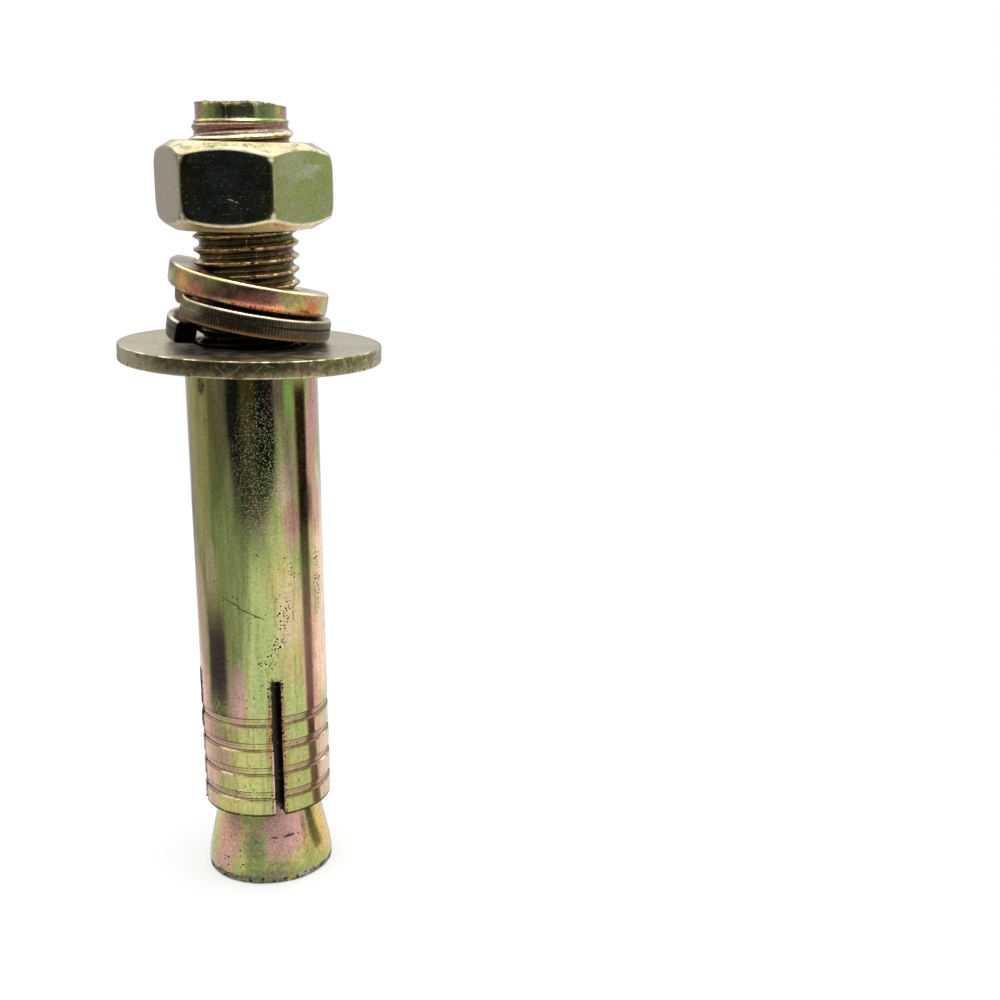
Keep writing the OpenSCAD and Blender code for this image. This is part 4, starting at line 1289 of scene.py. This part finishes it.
# Dark flags that only polished metal sees. Each has its four corners, from the near left one round (degrees
# right of the front, distance from the bolt, height), its cover from the near edge on, and its colour
FLAGS = {
    "right_flag": (
        [(95, 62, 0), (74, 62, 0), (68, 62, 72), (97, 62, 72)],
        (1, 0.75, 0.75, 0.8, 1, 1, 1), (0.05, 0.03, 0.02),
    ),
    "right_floor_flag": (
        [(99, 24, 0.4), (76, 24, 0.4), (74, 62, 0.4), (98, 62, 0.4)],
        (0.8, 0.9, 0.9), (0.15, 0.09, 0.06),
    ),
    "left_flag": (
        [(-112, 78, 0.4), (-62, 78, 0.4), (-66, 165, 0.4), (-112, 165, 0.4)],
        (0, 0.8, 1, 1, 1, 0.6, 0), (0.125, 0.112, 0.17),
    ),
    "front_flag": (
        [(-47, 228, 0.4), (30, 228, 0.4), (30, 345, 0.4), (-47, 345, 0.4)],
        (0, 0.22, 0.5, 0.75, 0.9, 1), (0.02, 0.024, 0.024),
    ),
}
# A flag's cover across it, at shares of its width
FLAG_SIDES = ((0, 0), (0.16, 1), (0.84, 1), (1, 0))


def dark_flag(name, corners, cover, colour):
    material = bpy.data.materials.new(name)
    tree = empty_tree(material)
    glow = put(tree, "Emission", {"Color": colour, "Strength": 1.0}).outputs[0]
    clear = put(tree, "BsdfTransparent").outputs[0]
    share = put(tree, "Attribute", attribute_name="cover").outputs["Fac"]
    mix = put(tree, "MixShader", {0: share, 1: clear, 2: glow}).outputs[0]
    tree.links.new(mix, tree.nodes.new("ShaderNodeOutputMaterial").inputs["Surface"])
    near_left, near_right, far_right, far_left = np.array([facing(*c) for c in corners])
    points, values = [], []
    for i, amount in enumerate(cover):
        t = i / (len(cover) - 1)
        left, right = near_left + (far_left - near_left) * t, near_right + (far_right - near_right) * t
        points += [left + (right - left) * s for s, _ in FLAG_SIDES]
        values += [amount * side for _, side in FLAG_SIDES]
    n = len(FLAG_SIDES)
    corners_at = [r * n + c for r in range(len(cover) - 1) for c in range(n - 1)]
    quads = [(k, k + 1, k + n + 1, k + n) for k in corners_at]
    flag = add_object(name, add_mesh(name, points, quads, material, {"cover": values}))
    flag.visible_camera = flag.visible_diffuse = flag.visible_shadow = False


# The light tent's walls seen round the bolt, from behind it on the left, past the camera at 0:
# degrees, brightness and tint
PLAIN = (1, 1, 1)
NEUTRAL = (0.8, 1, 1.3)
TENT_WALLS = [
    (-180, 0.85, PLAIN), (-160, 0.75, PLAIN), (-150, 0.58, PLAIN), (-110, 0.45, PLAIN), (-92, 0.40, PLAIN),
    (-86, 0.27, PLAIN), (-60, 0.22, PLAIN), (-50, 0.17, PLAIN), (-46, 0.012, NEUTRAL), (34, 0.012, NEUTRAL),
    (38, 0.38, PLAIN), (62, 0.52, PLAIN), (80, 0.72, PLAIN), (100, 0.82, PLAIN), (150, 0.85, PLAIN),
    (180, 0.85, PLAIN),
]
CEILING = (1.8, 1.8, 1.8)
ROOM_BROWN = (0.10, 0.065, 0.04)
ROOM_GREY = (0.07, 0.08, 0.075)


def light_tent():
    """The surroundings: a white tent that is open towards the camera."""
    world = bpy.data.worlds.new("light_tent")
    bpy.context.scene.world = world
    tree = empty_tree(world)
    way = put(tree, "TexCoord").outputs["Generated"]
    turn = {"Vector": way, "Angle": math.radians(-FRONT)}
    turned = put(tree, "VectorRotate", turn, rotation_type="Z_AXIS").outputs[0]
    parts = put(tree, "SeparateXYZ", {0: turned}).outputs
    round_it = maths(tree, "ARCTAN2", parts["Y"], parts["X"])
    share = step(tree, round_it, -math.pi, math.pi)
    share.node.interpolation_type = "LINEAR"
    ramp = put(tree, "ValToRGB", {0: share})
    stops = ramp.color_ramp.elements
    while len(stops) > 1:
        stops.remove(stops[-1])
    stops[0].position = 0
    for angle, _, _ in TENT_WALLS[1:]:
        stops.new((angle + 180) / 360)
    for stop, (_, level, tint) in zip(stops, TENT_WALLS):
        stop.color = [level * t for t in tint] + [1]
    # Through the opening a brown strip of the room shows low down
    strip = times(tree, step(tree, round_it, -0.47, -0.37), step(tree, round_it, 0.10, 0.0))
    strip = times(tree, strip, step(tree, parts["Z"], -0.08, -0.14))
    room = blend(tree, step(tree, parts["Z"], -0.18, -0.23), ROOM_BROWN, ROOM_GREY)
    walls = blend(tree, strip, ramp.outputs[0], room)
    seen = blend(tree, step(tree, parts["Z"], 0.30, 0.46), walls, CEILING)
    glossy = put(tree, "Background", {"Color": seen, "Strength": 1.0}).outputs[0]
    white = put(tree, "Background", {"Color": (1, 1, 1), "Strength": 1.0}).outputs[0]
    mirrored = put(tree, "LightPath").outputs["Is Glossy Ray"]
    mix = put(tree, "MixShader", {0: mirrored, 1: white, 2: glossy}).outputs[0]
    tree.links.new(mix, tree.nodes.new("ShaderNodeOutputWorld").inputs["Surface"])


TABLE_HALF = 240.0
TABLE_GLOW = 0.53


def white_table():
    """The table, white to the camera, which keeps the bolt's shadow."""
    material = bpy.data.materials.new("white_table")
    tree = empty_tree(material)
    path = put(tree, "LightPath").outputs
    # The metal sees the table's left part in the shade
    across = put(tree, "SeparateXYZ", {0: put(tree, "TexCoord").outputs["Object"]}).outputs["X"]
    shade = times(tree, step(tree, across, -0.035, -0.085, 0.0, 0.52), path["Is Glossy Ray"])
    tone = put(tree, "CombineColor", {i: maths(tree, "SUBTRACT", 1.0, shade) for i in range(3)}).outputs[0]
    lit = put(tree, "BsdfDiffuse", {"Color": blend(tree, 1.0, tone, (0.5, 0.5, 0.5), "MULTIPLY")}).outputs[0]
    seen = maths(tree, "MAXIMUM", path["Is Glossy Ray"], path["Is Transmission Ray"])
    seen = maths(tree, "MAXIMUM", path["Is Camera Ray"], seen)
    glow = put(tree, "Emission", {"Color": tone, "Strength": times(tree, seen, TABLE_GLOW)}).outputs[0]
    both = put(tree, "AddShader", {0: lit, 1: glow}).outputs[0]
    tree.links.new(both, tree.nodes.new("ShaderNodeOutputMaterial").inputs["Surface"])
    h = TABLE_HALF
    corners = [(-h, -h, 0), (h, -h, 0), (h, h, 0), (-h, h, 0)]
    table = add_object("table", add_mesh("table", corners, [(0, 1, 2, 3)], material, {}))
    table.rotation_euler.z = math.radians(FRONT + 90)


def softbox():
    lamp = bpy.data.lights.new("top_softbox", "AREA")
    lamp.shape, lamp.size, lamp.size_y, lamp.energy = "RECTANGLE", 0.3, 0.2, 0.6
    add_object("top_softbox", lamp).location = (0.05, -0.05, 0.5)


FRAME_WIDTH = 1000
FOCAL_LENGTH = 1469.7
CAMERA_PLACE = (-38.49, -224.75, 118.2)
CAMERA_DIP = 14.163
CAMERA_TURN = -19.4


def camera():
    """The photograph's camera, its focal length given in pixels of the photograph's width."""
    lens = bpy.data.cameras.new("camera")
    lens.sensor_width = 36.0
    lens.lens = lens.sensor_width * FOCAL_LENGTH / FRAME_WIDTH
    lens.clip_start, lens.clip_end = 0.01, 10
    cam = add_object("camera", lens)
    cam.location = [c * MM for c in CAMERA_PLACE]
    cam.rotation_euler = (math.radians(90 - CAMERA_DIP), 0, math.radians(CAMERA_TURN))
    bpy.context.scene.camera = cam


bpy.context.scene.view_settings.view_transform = "Standard"
camera()
light_tent()
white_table()
softbox()
for flag in FLAGS:
    dark_flag(flag, *FLAGS[flag])
cone_stud(stud_zinc())
expansion_sleeve(sleeve_zinc())
flat_washer(washer_zinc())
spring_washer(
    "lower_spring_washer", "spring_washer_lower", spring_steel(), LOWER_SPRING,
    rings=940, ribs=156,
)
spring_washer(
    "upper_spring_washer", "spring_washer_upper", spring_zinc(), UPPER_SPRING,
    rings=300, ribs=0,
)
hex_nut(nut_zinc())
